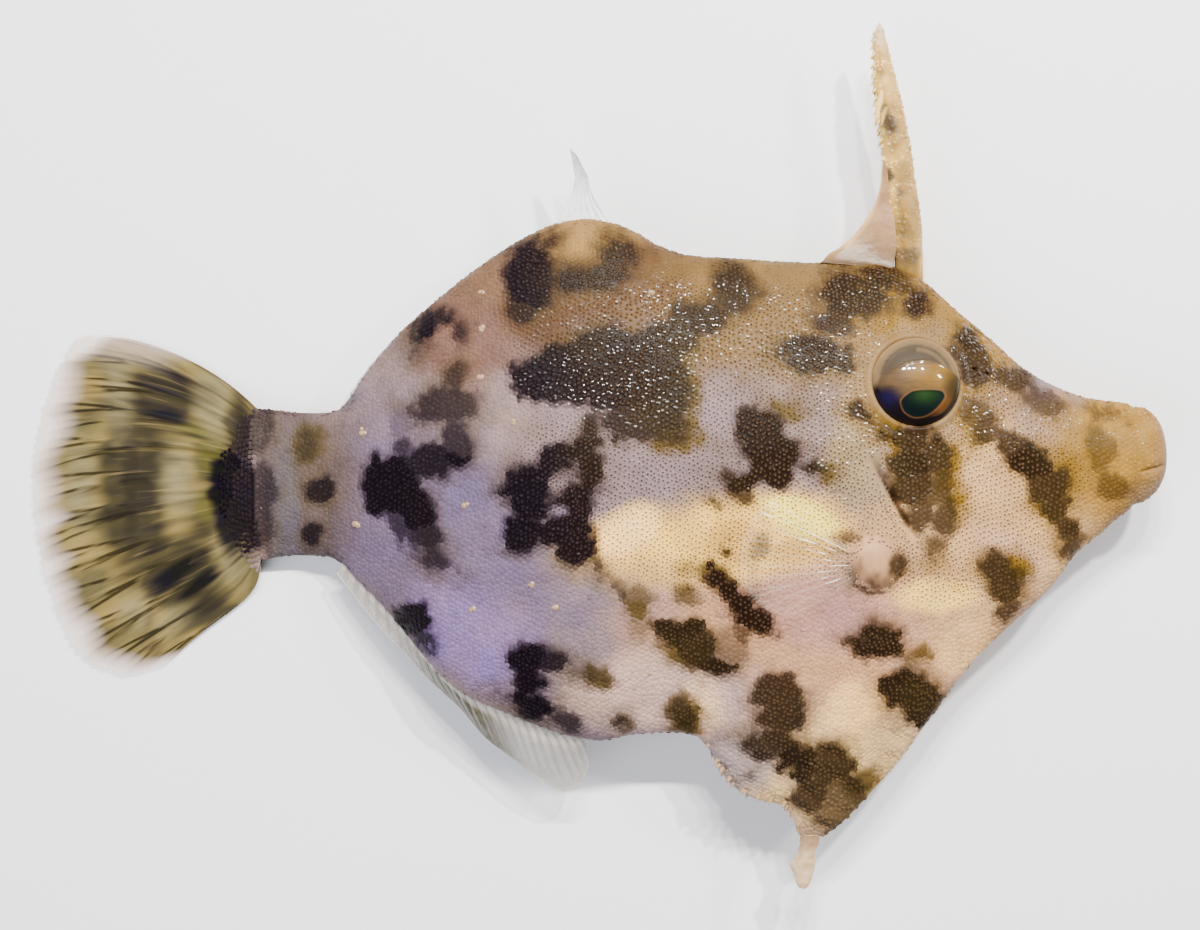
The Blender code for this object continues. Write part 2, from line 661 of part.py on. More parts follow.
def spine_web():
    """The web of skin from the spine's hind edge down to the back."""
    edge = path_through(WEB_EDGE)
    width = curve_through(SPINE_WIDTH)
    foot_near, foot_far = WEB_FOOT_X, WEB_EDGE[0][0]
    rows, columns = 9, 5
    centres, offsets = [], []
    for r in range(rows):
        share = r / (rows - 1)
        spine_share = WEB_ROOT_SHARE + (WEB_TOP - WEB_ROOT_SHARE) * share
        centre, _, forward = spine_frame(spine_share)
        wall = centre - forward * (width(spine_share) / 2 + GAP)
        near = Vector((foot_near, back_y(foot_near) + GAP)) if r == 0 else Vector((wall.x, wall.y))
        far = Vector(edge(share))
        line, lift = [], []
        for c in range(columns):
            here = near.lerp(far, c / (columns - 1))
            base = back_y(foot_near) + (back_y(foot_far) - back_y(foot_near)) * c / (columns - 1)
            follow = back_y(foot_near + (foot_far - foot_near) * c / (columns - 1)) - base
            line.append(Vector((here.x, here.y + follow * (1 - share) ** 3, FLANK_LEVEL)))
            lift.append(Vector((0, 0, WEB_HALF - WEB_THINNING * c / (columns - 1))))
        centres.append(line)
        offsets.append(lift)
    return ribbed_sheet("spine_web", centres, offsets)


def pelvic_tab():
    """The small rough tab of the pelvic bone at the belly flap's lowest corner."""
    left, right, thick = curve_through(TAB_LEFT), curve_through(TAB_RIGHT), curve_through(TAB_THICK)
    rings, sides, steps = [], 12, 11
    for k in range(steps):
        y = TAB_ROOT_Y + (TAB_TIP_Y - TAB_ROOT_Y) * (k / (steps - 1)) ** 0.85
        middle, half = (left(y) + right(y)) / 2, (right(y) - left(y)) / 2
        ring = []
        for i in range(sides):
            a = 2 * math.pi * i / sides
            ring.append(Vector((middle + half * math.cos(a), y, FLANK_LEVEL + thick(y) / 2 * math.sin(a))))
        rings.append(ring)
    return ring_loft("pelvic_tab", rings)


def tail_point(out, across, reach):
    """The middle of the tail fin's sheet, by the share along a ray and the share from its top ray down."""
    root_y = TAIL_ROOT_TOP + (TAIL_ROOT_LOW - TAIL_ROOT_TOP) * across
    start = Vector((TAIL_END_X - GAP - TAIL_CENTRE[0], root_y - TAIL_CENTRE[1]))
    from_angle = math.atan2(start.y, start.x) % (2 * math.pi)
    to_angle = math.radians(TAIL_TIP_FROM + (TAIL_TIP_TO - TAIL_TIP_FROM) * across)
    bow = TAIL_BOW * across**4 * 5 * out * math.exp(1 - 5 * out)
    angle = from_angle + (to_angle - from_angle) * out**1.3 + bow
    radius = start.length + (reach(across) - start.length) * out
    z = STALK_LEVEL + (FIN_HALF + RAY_RISE - STALK_LEVEL) * smooth_step(out / TAIL_SINK_BY)
    return Vector((TAIL_CENTRE[0] + radius * math.cos(angle), TAIL_CENTRE[1] + radius * math.sin(angle), z))


def tail_half(out, across, part):
    """Half of the tail fin's thickness there: thick at the stalk, then a thin skin with ridged rays."""
    off_middle = abs(2 * across - 1)
    edge = max(0.25, 1 - off_middle**8)
    root_half = TAIL_ROOT_HALF * edge**0.5 * (1 - 0.35 * off_middle**1.5)
    ridge = RAY_RISE * ray_height(part, out) * (1 - 0.4 * out)
    return root_half + (FIN_HALF * (1 - 0.3 * out) + ridge - root_half) * smooth_step(out / TAIL_THIN_BY)


def tail_fin():
    """The spread tail fin, laid on the floor: rays that fork once, as ridges on both faces."""
    reach = curve_through(TAIL_REACH)
    columns = ray_columns(TAIL_RAYS)
    centres, offsets = [], []
    for out in TAIL_ROWS:
        centres.append([tail_point(out, across, reach) for across, _ in columns])
        offsets.append([Vector((0, 0, tail_half(out, across, part))) for across, part in columns])
    return ribbed_sheet("tail_fin", centres, offsets)


def soft_dorsal_fin():
    """The raised front of the soft dorsal fin: a few rays gathered to one tip on the hump."""
    columns = ray_columns(DORSAL_RAYS, (0.0, 0.5))
    rows = [0.0, 0.2, 0.4, 0.6, 0.78, 0.9, 1.0]
    centres, offsets = [], []
    for out in rows:
        line, lift = [], []
        for across, part in columns:
            x = DORSAL_ROOT_FROM + (DORSAL_ROOT_TO - DORSAL_ROOT_FROM) * across
            root = Vector((x, back_y(x) + GAP))
            neck = Vector((DORSAL_NECK[0] + 0.95 * (across - 0.5), DORSAL_NECK[1]))
            tip = Vector((DORSAL_TIP[0] + 0.5 * (across - 0.5), DORSAL_TIP[1] - 0.5 * (across - 0.5)))
            climb = min(1.0, out / DORSAL_NECK_SHARE)
            sweep = 1 - (1 - climb) ** 1.6
            bend = Vector((root.x + (neck.x - root.x) * sweep, root.y + (neck.y - root.y) * climb))
            if out > DORSAL_NECK_SHARE:
                bend = neck.lerp(tip, (out - DORSAL_NECK_SHARE) / (1 - DORSAL_NECK_SHARE))
            line.append(Vector((bend.x, bend.y, FLANK_LEVEL)))
            lift.append(Vector((0, 0, FIN_HALF * (1 - 0.2 * out) + (RAY_RISE if part < 0.1 else 0))))
        centres.append(line)
        offsets.append(lift)
    return ribbed_sheet("soft_dorsal_fin_front", centres, offsets)


def folded_dorsal_fin():
    """The rest of the soft dorsal fin, folded down on the flank that the fish lies on."""
    columns = ray_columns(FOLD_RAYS, (0.0, 0.5))
    rows = [0.0, 0.25, 0.5, 0.75, 1.0]
    centres, offsets = [], []
    for out in rows:
        line, lift = [], []
        for across, part in columns:
            x = FOLD_FROM + (FOLD_TO - FOLD_FROM) * across
            depth = FOLD_DEPTH - FOLD_DEPTH_LOSS * across
            slant = FOLD_SLANT - FOLD_SLANT_LOSS * across
            x_out = x - slant * out
            top = back_y(x_out)
            y = top - FOLD_TOP - depth * out * 0.8
            axis = flank_normal(x_out, y, -1)
            half = FIN_HALF + (RAY_RISE * (1 - 0.5 * out) if part < 0.1 else 0)
            centre = flank(x_out, y, -1) + axis * (GAP + FIN_HALF + RAY_RISE)
            centre.z = max(centre.z, half)
            line.append(centre)
            lift.append(axis * half)
        centres.append(line)
        offsets.append(lift)
    return ribbed_sheet("soft_dorsal_fin_folded", centres, offsets)


def anal_fin():
    """The anal fin, half folded along the belly's hind edge, with its front lobe limp."""
    margin = path_through(ANAL_MARGIN)
    columns = ray_columns(ANAL_RAYS, (0.0, 0.5))
    rows = [0.0, 0.2, 0.4, 0.6, 0.8, 1.0]
    centres, offsets = [], []
    for out in rows:
        line, lift = [], []
        for across, part in columns:
            x = ANAL_FROM + (ANAL_TO - ANAL_FROM) * across
            root = Vector((x, belly_y(x) - GAP * 1.25))
            tip = Vector(margin(across + 0.1 * math.sin(math.pi * across)))
            if (tip - root).length < 0.6:
                tip = root + Vector((-0.45, -0.4))
            here = root.lerp(tip, out)
            droop = ANAL_DROOP * smooth_step(across * 1.6) * out**1.3
            half = FIN_HALF * (1 - 0.15 * out) + (RAY_RISE * (1 - 0.4 * out) if part < 0.1 else 0)
            line.append(Vector((here.x, here.y, level(x) - droop)))
            lift.append(Vector((0, 0, half)))
        centres.append(line)
        offsets.append(lift)
    return ribbed_sheet("anal_fin", centres, offsets)


def node_of(centre):
    """Which node a cut piece of the body is, by where its middle lies."""
    if centre.x < STALK_LINE[0][0]:
        return "tail_stalk"
    if centre.y < FLAP_BELOW_Y:
        return "belly_flap"
    return "head" if centre.x > HEAD_FROM_X else "trunk"


def body_nodes():
    body = whole_body()
    combine(body, [eye_rim(1), eye_rim(-1), pectoral_lobe(), *flap_fringe()], "UNION")
    cutters = [eye_socket(1), eye_socket(-1), mouth_slit(), gill_slit(1), gill_slit(-1), pectoral_recess()]
    combine(body, [*cutters, *nostrils(1), *nostrils(-1)], "DIFFERENCE")
    for line in (GILL_LINE, FLAP_LINE, STALK_LINE):
        combine(body, [blade("blade", line)], "DIFFERENCE")
    nodes = {}
    for keep in loose_parts(body):
        points = [body.data.vertices[i].co / MM for i in keep]
        centre = sum(points, Vector()) / len(points)
        name = node_of(centre)
        if name not in nodes:
            nodes[name] = part_object(name, body, keep)
    bpy.data.objects.remove(body)
    return nodes


def clear_scene():
    for thing in list(bpy.data.objects):
        bpy.data.objects.remove(thing)


def main():
    clear_scene()
    skin = material("skin", (0.62, 0.52, 0.44), 0.4)
    stalk_skin = material("stalk_skin", (0.6, 0.53, 0.5), 0.4)
    web_skin = material("web_skin", (0.66, 0.55, 0.42), 0.4)
    spine_look = material("spine", (0.68, 0.57, 0.4), 0.45)
    fin_look = material("fin", (0.62, 0.6, 0.5), 0.35)
    tail_look = material("tail", (0.45, 0.4, 0.22), 0.4)
    eye_look = material("eye", (0.3, 0.22, 0.14), 0.12)
    looks = {"tail_stalk": stalk_skin}
    made = [finish(node, looks.get(name, skin)) for name, node in body_nodes().items()]
    others = [
        (eye_ball("eye_right", 1, EYE_BULGE), eye_look),
        (eye_ball("eye_left", -1, LOW_EYE_BULGE), eye_look),
        (dorsal_spine(), spine_look),
        (spine_web(), web_skin),
        (pelvic_tab(), spine_look),
        (pectoral_fin("pectoral_fin_right", 1), fin_look),
        (pectoral_fin("pectoral_fin_left", -1), fin_look),
        (soft_dorsal_fin(), fin_look),
        (folded_dorsal_fin(), fin_look),
        (anal_fin(), fin_look),
        (tail_fin(), tail_look),
    ]
    made += [finish(node, look) for node, look in others]
    shift = Matrix.Translation(Vector((*ORIGIN, 0.0)) * MM)
    for node in made:
        node.data.transform(shift)


main()
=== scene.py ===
"""The looks of a life-size filefish that lies on its left side, over its solids.

Lengths are in millimetres in the fish's own outline frame (x from tail to snout, y from belly to back,
z up from the floor), and world() turns them into Blender's metres.
"""
import json
import math

import bpy
import numpy as np
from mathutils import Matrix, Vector

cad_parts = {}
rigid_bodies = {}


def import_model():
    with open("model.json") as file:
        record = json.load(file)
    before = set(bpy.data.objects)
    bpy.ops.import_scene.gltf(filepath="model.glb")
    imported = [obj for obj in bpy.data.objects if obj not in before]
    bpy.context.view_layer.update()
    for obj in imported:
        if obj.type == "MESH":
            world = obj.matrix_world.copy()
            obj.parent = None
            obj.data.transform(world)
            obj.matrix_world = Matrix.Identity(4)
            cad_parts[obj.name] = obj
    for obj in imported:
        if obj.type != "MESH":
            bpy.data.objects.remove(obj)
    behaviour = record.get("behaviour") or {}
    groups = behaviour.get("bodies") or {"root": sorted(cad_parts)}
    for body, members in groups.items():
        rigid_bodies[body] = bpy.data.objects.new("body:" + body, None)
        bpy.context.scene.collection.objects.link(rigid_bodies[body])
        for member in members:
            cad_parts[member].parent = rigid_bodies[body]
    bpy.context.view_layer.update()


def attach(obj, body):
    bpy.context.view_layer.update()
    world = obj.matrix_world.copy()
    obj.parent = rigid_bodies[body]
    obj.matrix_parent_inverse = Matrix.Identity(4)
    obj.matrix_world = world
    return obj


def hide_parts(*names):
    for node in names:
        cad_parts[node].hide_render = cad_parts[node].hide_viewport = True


# Blender's own starting objects go first.
for leftover in list(bpy.data.objects):
    bpy.data.objects.remove(leftover)
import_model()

MM = 0.001
ORIGIN = np.array([0.68, -0.65, 0.0])
UP = np.array([0.0, 0.0, 1.0])

# The outline and thickness of the body, as the solids have them.
TAIL_END_X, SNOUT_X = -25.0, 41.25
SKIN_END_X = -25.6  # the skin runs a little over the tail fin's root
UNWRAP_FROM_X = -29.5  # and its scales reach this far out on the fin
SNOUT_Y, SNOUT_CAP, SNOUT_ROUND = 0.6, 3.25, 2.6
BACK = [
    (-25.0, 4.2), (-22.8, 3.95), (-20.4, 3.9), (-19.3, 4.15), (-18.5, 5.0), (-16.8, 7.4), (-14.6, 9.8),
    (-10.9, 12.9), (-7.3, 15.5), (-5.1, 16.8), (-2.9, 17.7), (-0.9, 17.95), (0.8, 17.7), (2.6, 17.0),
    (4.4, 15.95), (6.6, 15.3), (10.2, 15.05), (14.6, 14.8), (19.6, 14.75), (22.0, 14.3), (23.7, 13.3),
    (25.5, 11.7), (28.1, 9.5), (31.3, 6.75), (33.5, 5.6), (35.6, 4.9), (38.0, 4.6), (41.3, 4.4),
]
BELLY = [
    (-25.0, -7.1), (-22.6, -6.75), (-20.4, -6.8), (-19.1, -7.3), (-18.1, -8.4), (-16.6, -9.8), (-14.7, -11.9),
    (-12.7, -14.3), (-11.5, -15.6), (-9.7, -16.9), (-7.3, -17.9), (-4.9, -18.9), (-2.2, -19.8), (0.0, -20.1),
    (2.9, -19.6), (4.8, -19.5), (6.8, -19.7), (7.9, -20.7), (8.9, -22.5), (9.9, -23.6), (11.4, -24.4),
    (13.4, -24.9), (14.0, -25.7), (14.5, -27.0), (15.3, -27.25), (16.3, -27.0), (17.5, -26.2),
    (19.2, -24.5), (21.5, -21.9), (23.9, -18.7), (27.3, -14.2), (29.9, -11.7), (32.8, -9.0), (34.6, -6.6),
    (36.6, -4.9), (37.7, -3.95), (39.1, -3.1), (41.3, -2.6),
]
HALF_WIDTH = [
    (-25.0, 1.15), (-22.5, 1.35), (-20.0, 1.7), (-17.0, 2.35), (-13.0, 3.2), (-9.0, 4.1), (-4.0, 4.95),
    (2.0, 5.35), (9.0, 5.5), (16.0, 5.45), (20.0, 5.15), (24.0, 4.7), (27.0, 4.1), (31.0, 3.3), (35.0, 2.65),
    (38.0, 2.25), (41.3, 2.0),
]
WIDEST_Y = [
    (-25.0, -1.4), (-19.0, -1.2), (-8.0, -0.6), (6.0, 0.4), (16.0, 1.4), (24.0, 2.4), (31.0, 1.2),
    (41.3, 0.6),
]
BELLY_TAPER = [
    (-25.0, 0.4), (-12.0, 0.5), (2.0, 0.62), (9.0, 0.78), (20.0, 0.8), (28.0, 0.66), (35.0, 0.45),
    (41.3, 0.3),
]
EDGE_ROUND, TAPER_POWER, BACK_TAPER = 5.0, 1.5, 0.52
FLANK_LEVEL, STALK_LEVEL, DROOP_FROM_X = 4.9, 1.2, -7.0
LIP_CREASE_X, LIP_CREASE_DEPTH = 38.9, 0.05
SKIN_INSET = 0.05  # the skin lies this far inside the solids, and its scales reach their surface
LOWEST_SKIN = SKIN_INSET * 1.4

# Dark blotches on the right flank: middle x, y, half sizes, turn in degrees, and how dark where it isn't 1.
BLOTCHES = [
    # The hump, and the patches before the tail.
    (-4.9, 13.8, 2.1, 2.8, 5), (-5.5, 10.9, 1.1, 1.2, 0, 0.8), (-2.0, 13.4, 2.0, 1.3, 0, 0.97),
    (0.3, 13.6, 1.9, 1.4, 10, 0.97), (1.2, 15.2, 1.6, 1.5, -20, 0.95), (-3.7, 16.0, 1.0, 0.8, 30, 0.9),
    (-12.6, 9.7, 1.1, 1.5, -15), (-11.3, 10.6, 1.4, 0.6, -5, 0.95), (-10.2, 9.7, 0.75, 1.1, 15, 0.85),
    (-13.3, 8.3, 0.6, 0.6, 0, 0.6), (-11.2, 4.2, 2.6, 1.3, 8, 0.82), (-10.3, 6.3, 0.7, 1.0, 0, 0.7),
    (-10.3, 1.6, 1.1, 1.6, 0, 0.85), (-15.2, -1.5, 2.2, 2.6, 0), (-12.6, 0.2, 2.3, 1.2, 5, 0.95),
    (-13.5, -3.4, 1.7, 1.9, 0), (-14.5, -4.1, 1.2, 1.5, 30, 0.85), (-12.8, -5.1, 1.7, 1.1, -30, 0.9),
    (-11.8, -6.7, 1.7, 1.0, -38, 0.85), (-10.5, 0.6, 1.1, 0.7, 0), (-14.4, 1.2, 1.1, 0.8, 20, 0.85),
    # The winged patch on the middle of the flank.
    (-5.2, -0.9, 1.8, 1.2, 5), (-6.2, -1.7, 1.1, 0.8, 0), (-5.2, -2.9, 1.7, 1.4, 0),
    (-5.5, -4.7, 1.7, 1.5, 0), (-3.2, -4.7, 1.8, 1.3, 0), (-1.9, -5.4, 1.4, 1.9, 0),
    (-1.6, -2.8, 1.4, 2.2, 0), (-0.9, -0.8, 1.4, 1.8, -10), (-1.9, 1.0, 2.0, 1.1, 25),
    (-0.8, 2.3, 0.8, 1.1, -20, 0.95), (-3.1, -0.1, 1.8, 1.3, 0), (-4.4, -2.2, 2.2, 2.2, 0),
    # The great patch and its arm towards the back.
    (-4.5, 6.3, 2.0, 1.7, 20), (-2.0, 6.7, 2.9, 2.4, 10), (1.5, 6.8, 3.5, 3.1, 0), (4.0, 5.4, 2.6, 3.5, 0),
    (2.7, 3.1, 2.8, 1.7, 0, 0.95), (0.0, 9.0, 2.6, 1.0, 10), (4.5, 8.8, 2.6, 1.6, 15),
    (7.2, 10.6, 2.6, 1.4, 18, 0.97), (9.8, 11.8, 2.2, 1.2, 5, 0.93), (9.6, 13.2, 1.5, 1.9, 0, 0.95),
    (4.6, 2.1, 1.5, 0.7, 0, 0.9),
    # The lower hind flank, and the small ones along the belly.
    (-13.4, -11.3, 1.4, 1.5, -20), (-12.6, -12.6, 1.0, 0.9, -30, 0.9), (-5.2, -13.9, 1.5, 1.4, 0),
    (-3.9, -14.2, 1.6, 0.7, -8, 0.95), (-5.1, -15.8, 1.2, 1.5, 0), (-4.8, -17.3, 2.2, 1.1, -18),
    (-3.0, -18.4, 1.5, 0.8, -15, 0.9), (-1.1, -15.0, 1.4, 0.4, -15, 0.5), (6.0, -18.2, 1.0, 0.95, 0, 0.9),
    (1.5, -18.5, 0.7, 0.75, 0, 0.85), (0.7, -8.0, 1.1, 0.4, -48, 0.85), (2.6, -9.6, 0.6, 0.8, 10, 0.35),
    (6.3, -9.5, 0.4, 0.4, 0, 0.35), (-20.5, -1.8, 1.05, 0.95, 0, 0.9), (-21.1, -5.2, 0.75, 1.0, 0, 0.9),
    (-21.7, 1.2, 0.9, 1.1, -30, 0.45), (-26.2, -3.2, 1.9, 4.0, 0, 0.95), (-26.6, 2.2, 1.4, 2.9, -12, 0.9),
    (-28.2, -1.9, 1.6, 2.6, 0), (-27.4, 0.3, 1.3, 1.7, 0), (-25.4, 2.4, 1.3, 2.0, -12, 0.7),
    (-25.3, -3.0, 1.4, 3.6, 0, 0.8), (-14.6, 3.0, 1.0, 1.2, 0, 0.4),
    # The nape, and the patch on the shoulder.
    (17.5, 12.3, 2.3, 1.9, 10), (19.5, 13.2, 2.3, 1.4, 10), (21.3, 14.0, 1.6, 0.9, -10, 0.95),
    (22.8, 11.7, 1.1, 1.3, -20), (21.8, 12.9, 1.0, 0.8, 0, 0.9), (16.2, 10.2, 1.9, 1.1, 0, 0.95),
    (19.3, 11.9, 2.0, 1.4, 0), (15.2, 8.0, 2.9, 1.6, 0), (17.0, 7.3, 1.1, 0.8, 0, 0.95),
    (17.3, 9.6, 1.0, 0.9, 0, 0.9), (11.5, 2.7, 1.9, 1.7, 0), (11.3, 0.8, 1.9, 1.3, 0),
    (13.3, 1.0, 1.6, 1.0, -20), (14.9, -0.2, 1.4, 0.85, -25), (10.6, -1.0, 1.9, 1.0, 25),
    (9.2, -0.9, 0.6, 0.5, 0, 0.95), (12.2, -0.8, 1.6, 0.9, 0), (8.0, -2.5, 0.45, 0.4, 0, 0.9),
    (10.3, -2.3, 0.8, 0.6, 30, 0.9),
    # The streaks round the pectoral fin, and the ones below it.
    (18.3, 3.9, 0.65, 0.6, 0, 0.95), (19.0, 3.1, 1.2, 0.55, -45, 0.95), (19.9, 2.2, 0.75, 0.55, -30, 0.9),
    (21.2, -6.9, 1.1, 0.9, 45, 0.9), (19.3, -8.3, 1.0, 0.5, 5, 0.9), (18.4, -7.7, 0.5, 0.8, 0, 0.8),
    (8.9, -6.2, 0.6, 0.5, 30, 0.95), (7.7, -7.1, 1.2, 0.6, -5), (8.4, -7.9, 1.0, 0.8, -30),
    (9.2, -8.9, 0.8, 1.0, 20), (10.2, -10.0, 1.1, 1.1, 30), (11.0, -10.9, 1.7, 1.1, -20),
    (10.0, -12.4, 0.9, 1.3, 0, 0.85), (9.3, -13.2, 1.4, 1.5, 0, 0.6), (5.6, -12.0, 2.1, 1.3, -8),
    (6.8, -13.1, 1.8, 1.3, -15, 0.95), (8.6, -14.5, 1.6, 1.0, -8), (4.4, -12.0, 0.8, 0.6, 0, 0.85),
    (9.9, -12.6, 0.9, 0.9, 0, 0.7), (20.0, -12.6, 2.2, 1.4, 3), (22.9, -13.5, 0.6, 0.45, 0, 0.6),
    (22.3, -16.4, 2.4, 1.6, 0), (23.0, -17.9, 1.4, 1.3, 0), (12.8, -16.3, 1.7, 1.5, 0, 0.95),
    (13.2, -18.0, 1.6, 1.6, 0, 0.95),
    # The belly flap.
    (12.3, -20.3, 2.1, 1.3, 10, 0.95), (14.6, -21.4, 2.4, 1.6, -20), (16.4, -21.7, 2.0, 1.9, 0, 0.95),
    (15.6, -23.7, 1.9, 1.5, 0, 0.95), (17.4, -24.0, 2.0, 1.9, 0, 0.85), (16.6, -25.6, 1.5, 1.1, 0, 0.85),
    (10.8, -22.4, 1.2, 0.45, 35, 0.8),
    # The band below the eye, the cheek bands and the snout.
    (22.2, 1.7, 1.5, 1.3, 0, 0.95), (22.2, 0.2, 1.8, 1.4, 0), (23.9, 0.7, 1.3, 1.5, 0, 0.95),
    (22.5, -1.8, 1.7, 1.6, 0, 0.95), (22.9, -3.5, 1.5, 1.5, 0, 0.9), (24.2, -3.8, 1.2, 1.5, 0, 0.9),
    (23.8, -5.6, 0.9, 1.3, 0, 0.85), (24.3, -0.6, 0.8, 0.8, 0, 0.85), (26.6, 9.1, 1.2, 1.4, 20),
    (25.8, 7.9, 0.9, 0.9, 0, 0.9), (27.0, 7.2, 1.8, 1.5, -10, 0.95), (29.3, 6.5, 1.9, 0.9, -12, 0.9),
    (26.6, 3.7, 1.3, 0.9, -30, 0.75), (32.2, 4.4, 1.6, 0.8, -10, 0.8), (36.3, 3.7, 1.4, 0.8, -20, 0.75),
    (36.1, 1.3, 0.9, 1.7, 8, 0.6), (37.1, -1.5, 1.4, 0.9, 0, 0.7), (23.8, -2.2, 1.1, 1.6, 0, 0.85),
    (28.0, 2.4, 1.9, 1.1, -35, 0.9), (29.2, 1.5, 1.8, 1.1, -25, 0.95), (31.0, 0.2, 2.2, 1.4, -20),
    (32.3, -1.5, 1.6, 1.5, 0, 0.95), (32.8, -3.0, 1.2, 1.2, 0, 0.95), (33.7, -4.6, 0.9, 1.3, 20, 0.95),
    (34.2, -5.8, 0.9, 0.8, 0, 0.9), (28.4, -7.3, 1.2, 1.3, 0, 0.95), (29.2, -8.9, 1.6, 1.5, 0, 0.95),
    (29.3, -10.6, 1.4, 1.0, 30, 0.9), (30.3, -8.4, 0.7, 1.0, 0, 0.8), (17.6, -5.2, 0.6, 0.55, 0, 0.8),
]
# Pale islands left inside the dark blotches.
ISLANDS = [
    (-2.9, -1.5, 1.2, 0.55, 30), (-2.7, -3.3, 0.5, 0.4, 0), (-1.6, 15.5, 1.1, 1.0, 0),
    (-11.3, 9.1, 0.6, 0.8, 0), (12.3, -22.9, 1.4, 0.35, 25),
]
# Yellow to olive stains beside the blotches.
STAINS = [
    (5.9, -12.5, 2.3, 1.6, -20), (22.9, -17.2, 1.3, 1.5, 0), (3.6, 3.2, 2.2, 1.0, 0),
    (6.3, 6.4, 0.7, 2.8, 0), (4.6, 1.6, 2.2, 0.6, 0), (13.6, 3.9, 1.5, 1.1, -30), (16.2, -0.6, 0.9, 1.1, 0),
    (25.7, -3.1, 0.8, 1.0, 0), (24.9, 0.2, 0.7, 1.6, -20), (26.9, 5.3, 1.2, 0.5, 0),
    (26.2, 3.2, 1.0, 1.4, 30), (27.2, 2.1, 1.2, 0.6, -20), (33.6, -0.4, 0.8, 1.6, 15),
    (31.4, -3.1, 1.0, 0.6, -30), (35.6, 1.0, 0.5, 1.3, 0), (30.2, -7.2, 0.8, 0.9, 0),
    (20.7, 9.8, 0.8, 1.0, 0), (22.6, -13.3, 0.7, 0.5, 0), (2.7, -9.6, 0.9, 1.0, 0),
    (6.3, -9.5, 0.5, 0.45, 0), (6.0, -17.9, 1.3, 1.3, 0), (1.5, -18.4, 0.9, 1.0, 0),
    (0.1, -15.5, 0.9, 0.7, -30), (11.4, -5.6, 0.8, 0.7, 0), (-21.7, 1.3, 1.1, 1.3, 0),
    (19.9, 3.0, 0.9, 0.8, 0), (18.9, -23.0, 0.9, 1.6, -40), (21.0, 1.2, 0.5, 1.6, 0),
]
# The coat's ground colour, and soft zones over it: middle x, y, half sizes, turn, colour.
GROUND = (122, 103, 102)
ZONES = [
    (0.0, 15.5, 30.0, 7.5, -2, (78, 54, 32)), (13.0, 11.0, 9.0, 5.0, 0, (106, 82, 48)),
    (-2.0, 17.2, 5.0, 1.9, -3, (134, 102, 58)), (-8.6, 13.0, 4.6, 1.7, 38, (100, 76, 60)),
    # The lilac zones at (-12.0, -5.0) and (-8.5, -12.5) are partly the flank's own pale tone and partly
    # painted violet light.
    (-10.5, 9.5, 4.5, 3.0, -45, (104, 77, 66)), (-12.0, -5.0, 12.0, 7.5, -25, (100, 86, 106)),
    (-8.5, -12.5, 5.0, 3.2, -30, (120, 99, 142)), (-21.5, -1.5, 4.0, 7.0, 0, (86, 72, 70)),
    (-23.4, -3.0, 1.2, 4.6, 0, (82, 75, 78)), (17.0, -11.0, 13.0, 8.0, 0, (176, 134, 100)),
    # The cream zones at (8.5, -5.3), (1.8, -4.8) and (14.2, -3.6) are partly the skin's own cream and partly
    # painted sheen.
    (15.5, -10.4, 6.5, 2.6, -8, (160, 118, 104)), (8.5, -5.3, 9.5, 2.9, 8, (230, 184, 92)),
    (5.0, -16.5, 6.0, 3.0, 0, (178, 148, 136)), (28.0, -4.5, 8.0, 7.5, -25, (188, 149, 102)),
    (29.5, -6.8, 3.0, 1.6, -35, (184, 148, 118)), (25.0, 10.5, 7.0, 4.5, -40, (128, 95, 38)),
    (37.0, 1.2, 6.0, 5.0, 0, (136, 103, 46)), (17.0, -22.5, 8.0, 4.2, 20, (187, 156, 112)),
    (18.0, -17.4, 2.8, 1.8, 10, (224, 179, 126)), (24.0, -9.3, 2.8, 1.2, 0, (236, 192, 102)),
    (10.6, -21.4, 2.6, 2.2, 30, (146, 128, 122)), (18.5, 0.5, 2.6, 4.0, 0, (142, 120, 90)),
    (22.5, 5.9, 4.6, 4.6, 0, (124, 100, 66)), (1.8, -4.8, 2.6, 1.5, 30, (248, 198, 126)),
    (14.2, -3.6, 2.6, 1.1, -20, (250, 222, 92)), (9.6, -5.6, 2.4, 1.7, 0, (198, 154, 80)),
    (14.0, -6.1, 2.4, 0.8, 0, (192, 150, 72)), (7.4, -17.2, 1.5, 2.2, 0, (218, 178, 138)),
    (26.4, -13.0, 1.8, 2.2, -40, (214, 170, 114)),
]
# Warts that stand out of the coat, pale on any ground.
PAPILLAE = [
    (-8.6, 12.5), (-8.5, 9.9), (-8.6, 6.3), (3.7, 12.5), (-17.4, 2.5), (-6.1, 3.0), (-17.8, -4.5),
    (-9.6, -2.9), (-9.1, -10.3), (-3.2, -10.1), (3.5, -15.1), (-5.0, -8.5),
]
# The skin's points from the flank's middle to its edge, and how they crowd towards the edge.
SKIN_SPANS, EDGE_CROWD = 96, 1.35
SCALE_PITCH = 0.36
SCALE_RADIUS = 0.205
SCALE_HEIGHT = 0.042
SCALE_STRAY = 0.045  # how far each stands off its row
SCALE_LEAN = 0.13  # how far each leans its own way
SCALE_SPLIT_X = 3.0  # where the rear and front pieces of the coat meet
BEAD_SIDES = 6
BEAD_POINTS = 1 + 2 * BEAD_SIDES
CONE_SIDES = 7
CONE_RINGS = ((-0.35, 1.0), (0.15, 0.85), (0.6, 0.42))  # share of a thorn's length, and of its radius
# The OFBake map: the middle of either flank's band, half a band, the way round that fills it, and a patch.
BAKE_RIGHT, BAKE_LEFT, BAKE_HALF = 0.74, 0.26, 0.22
BAKE_ROUND, BAKE_PATCH = 26.0, 0.0015
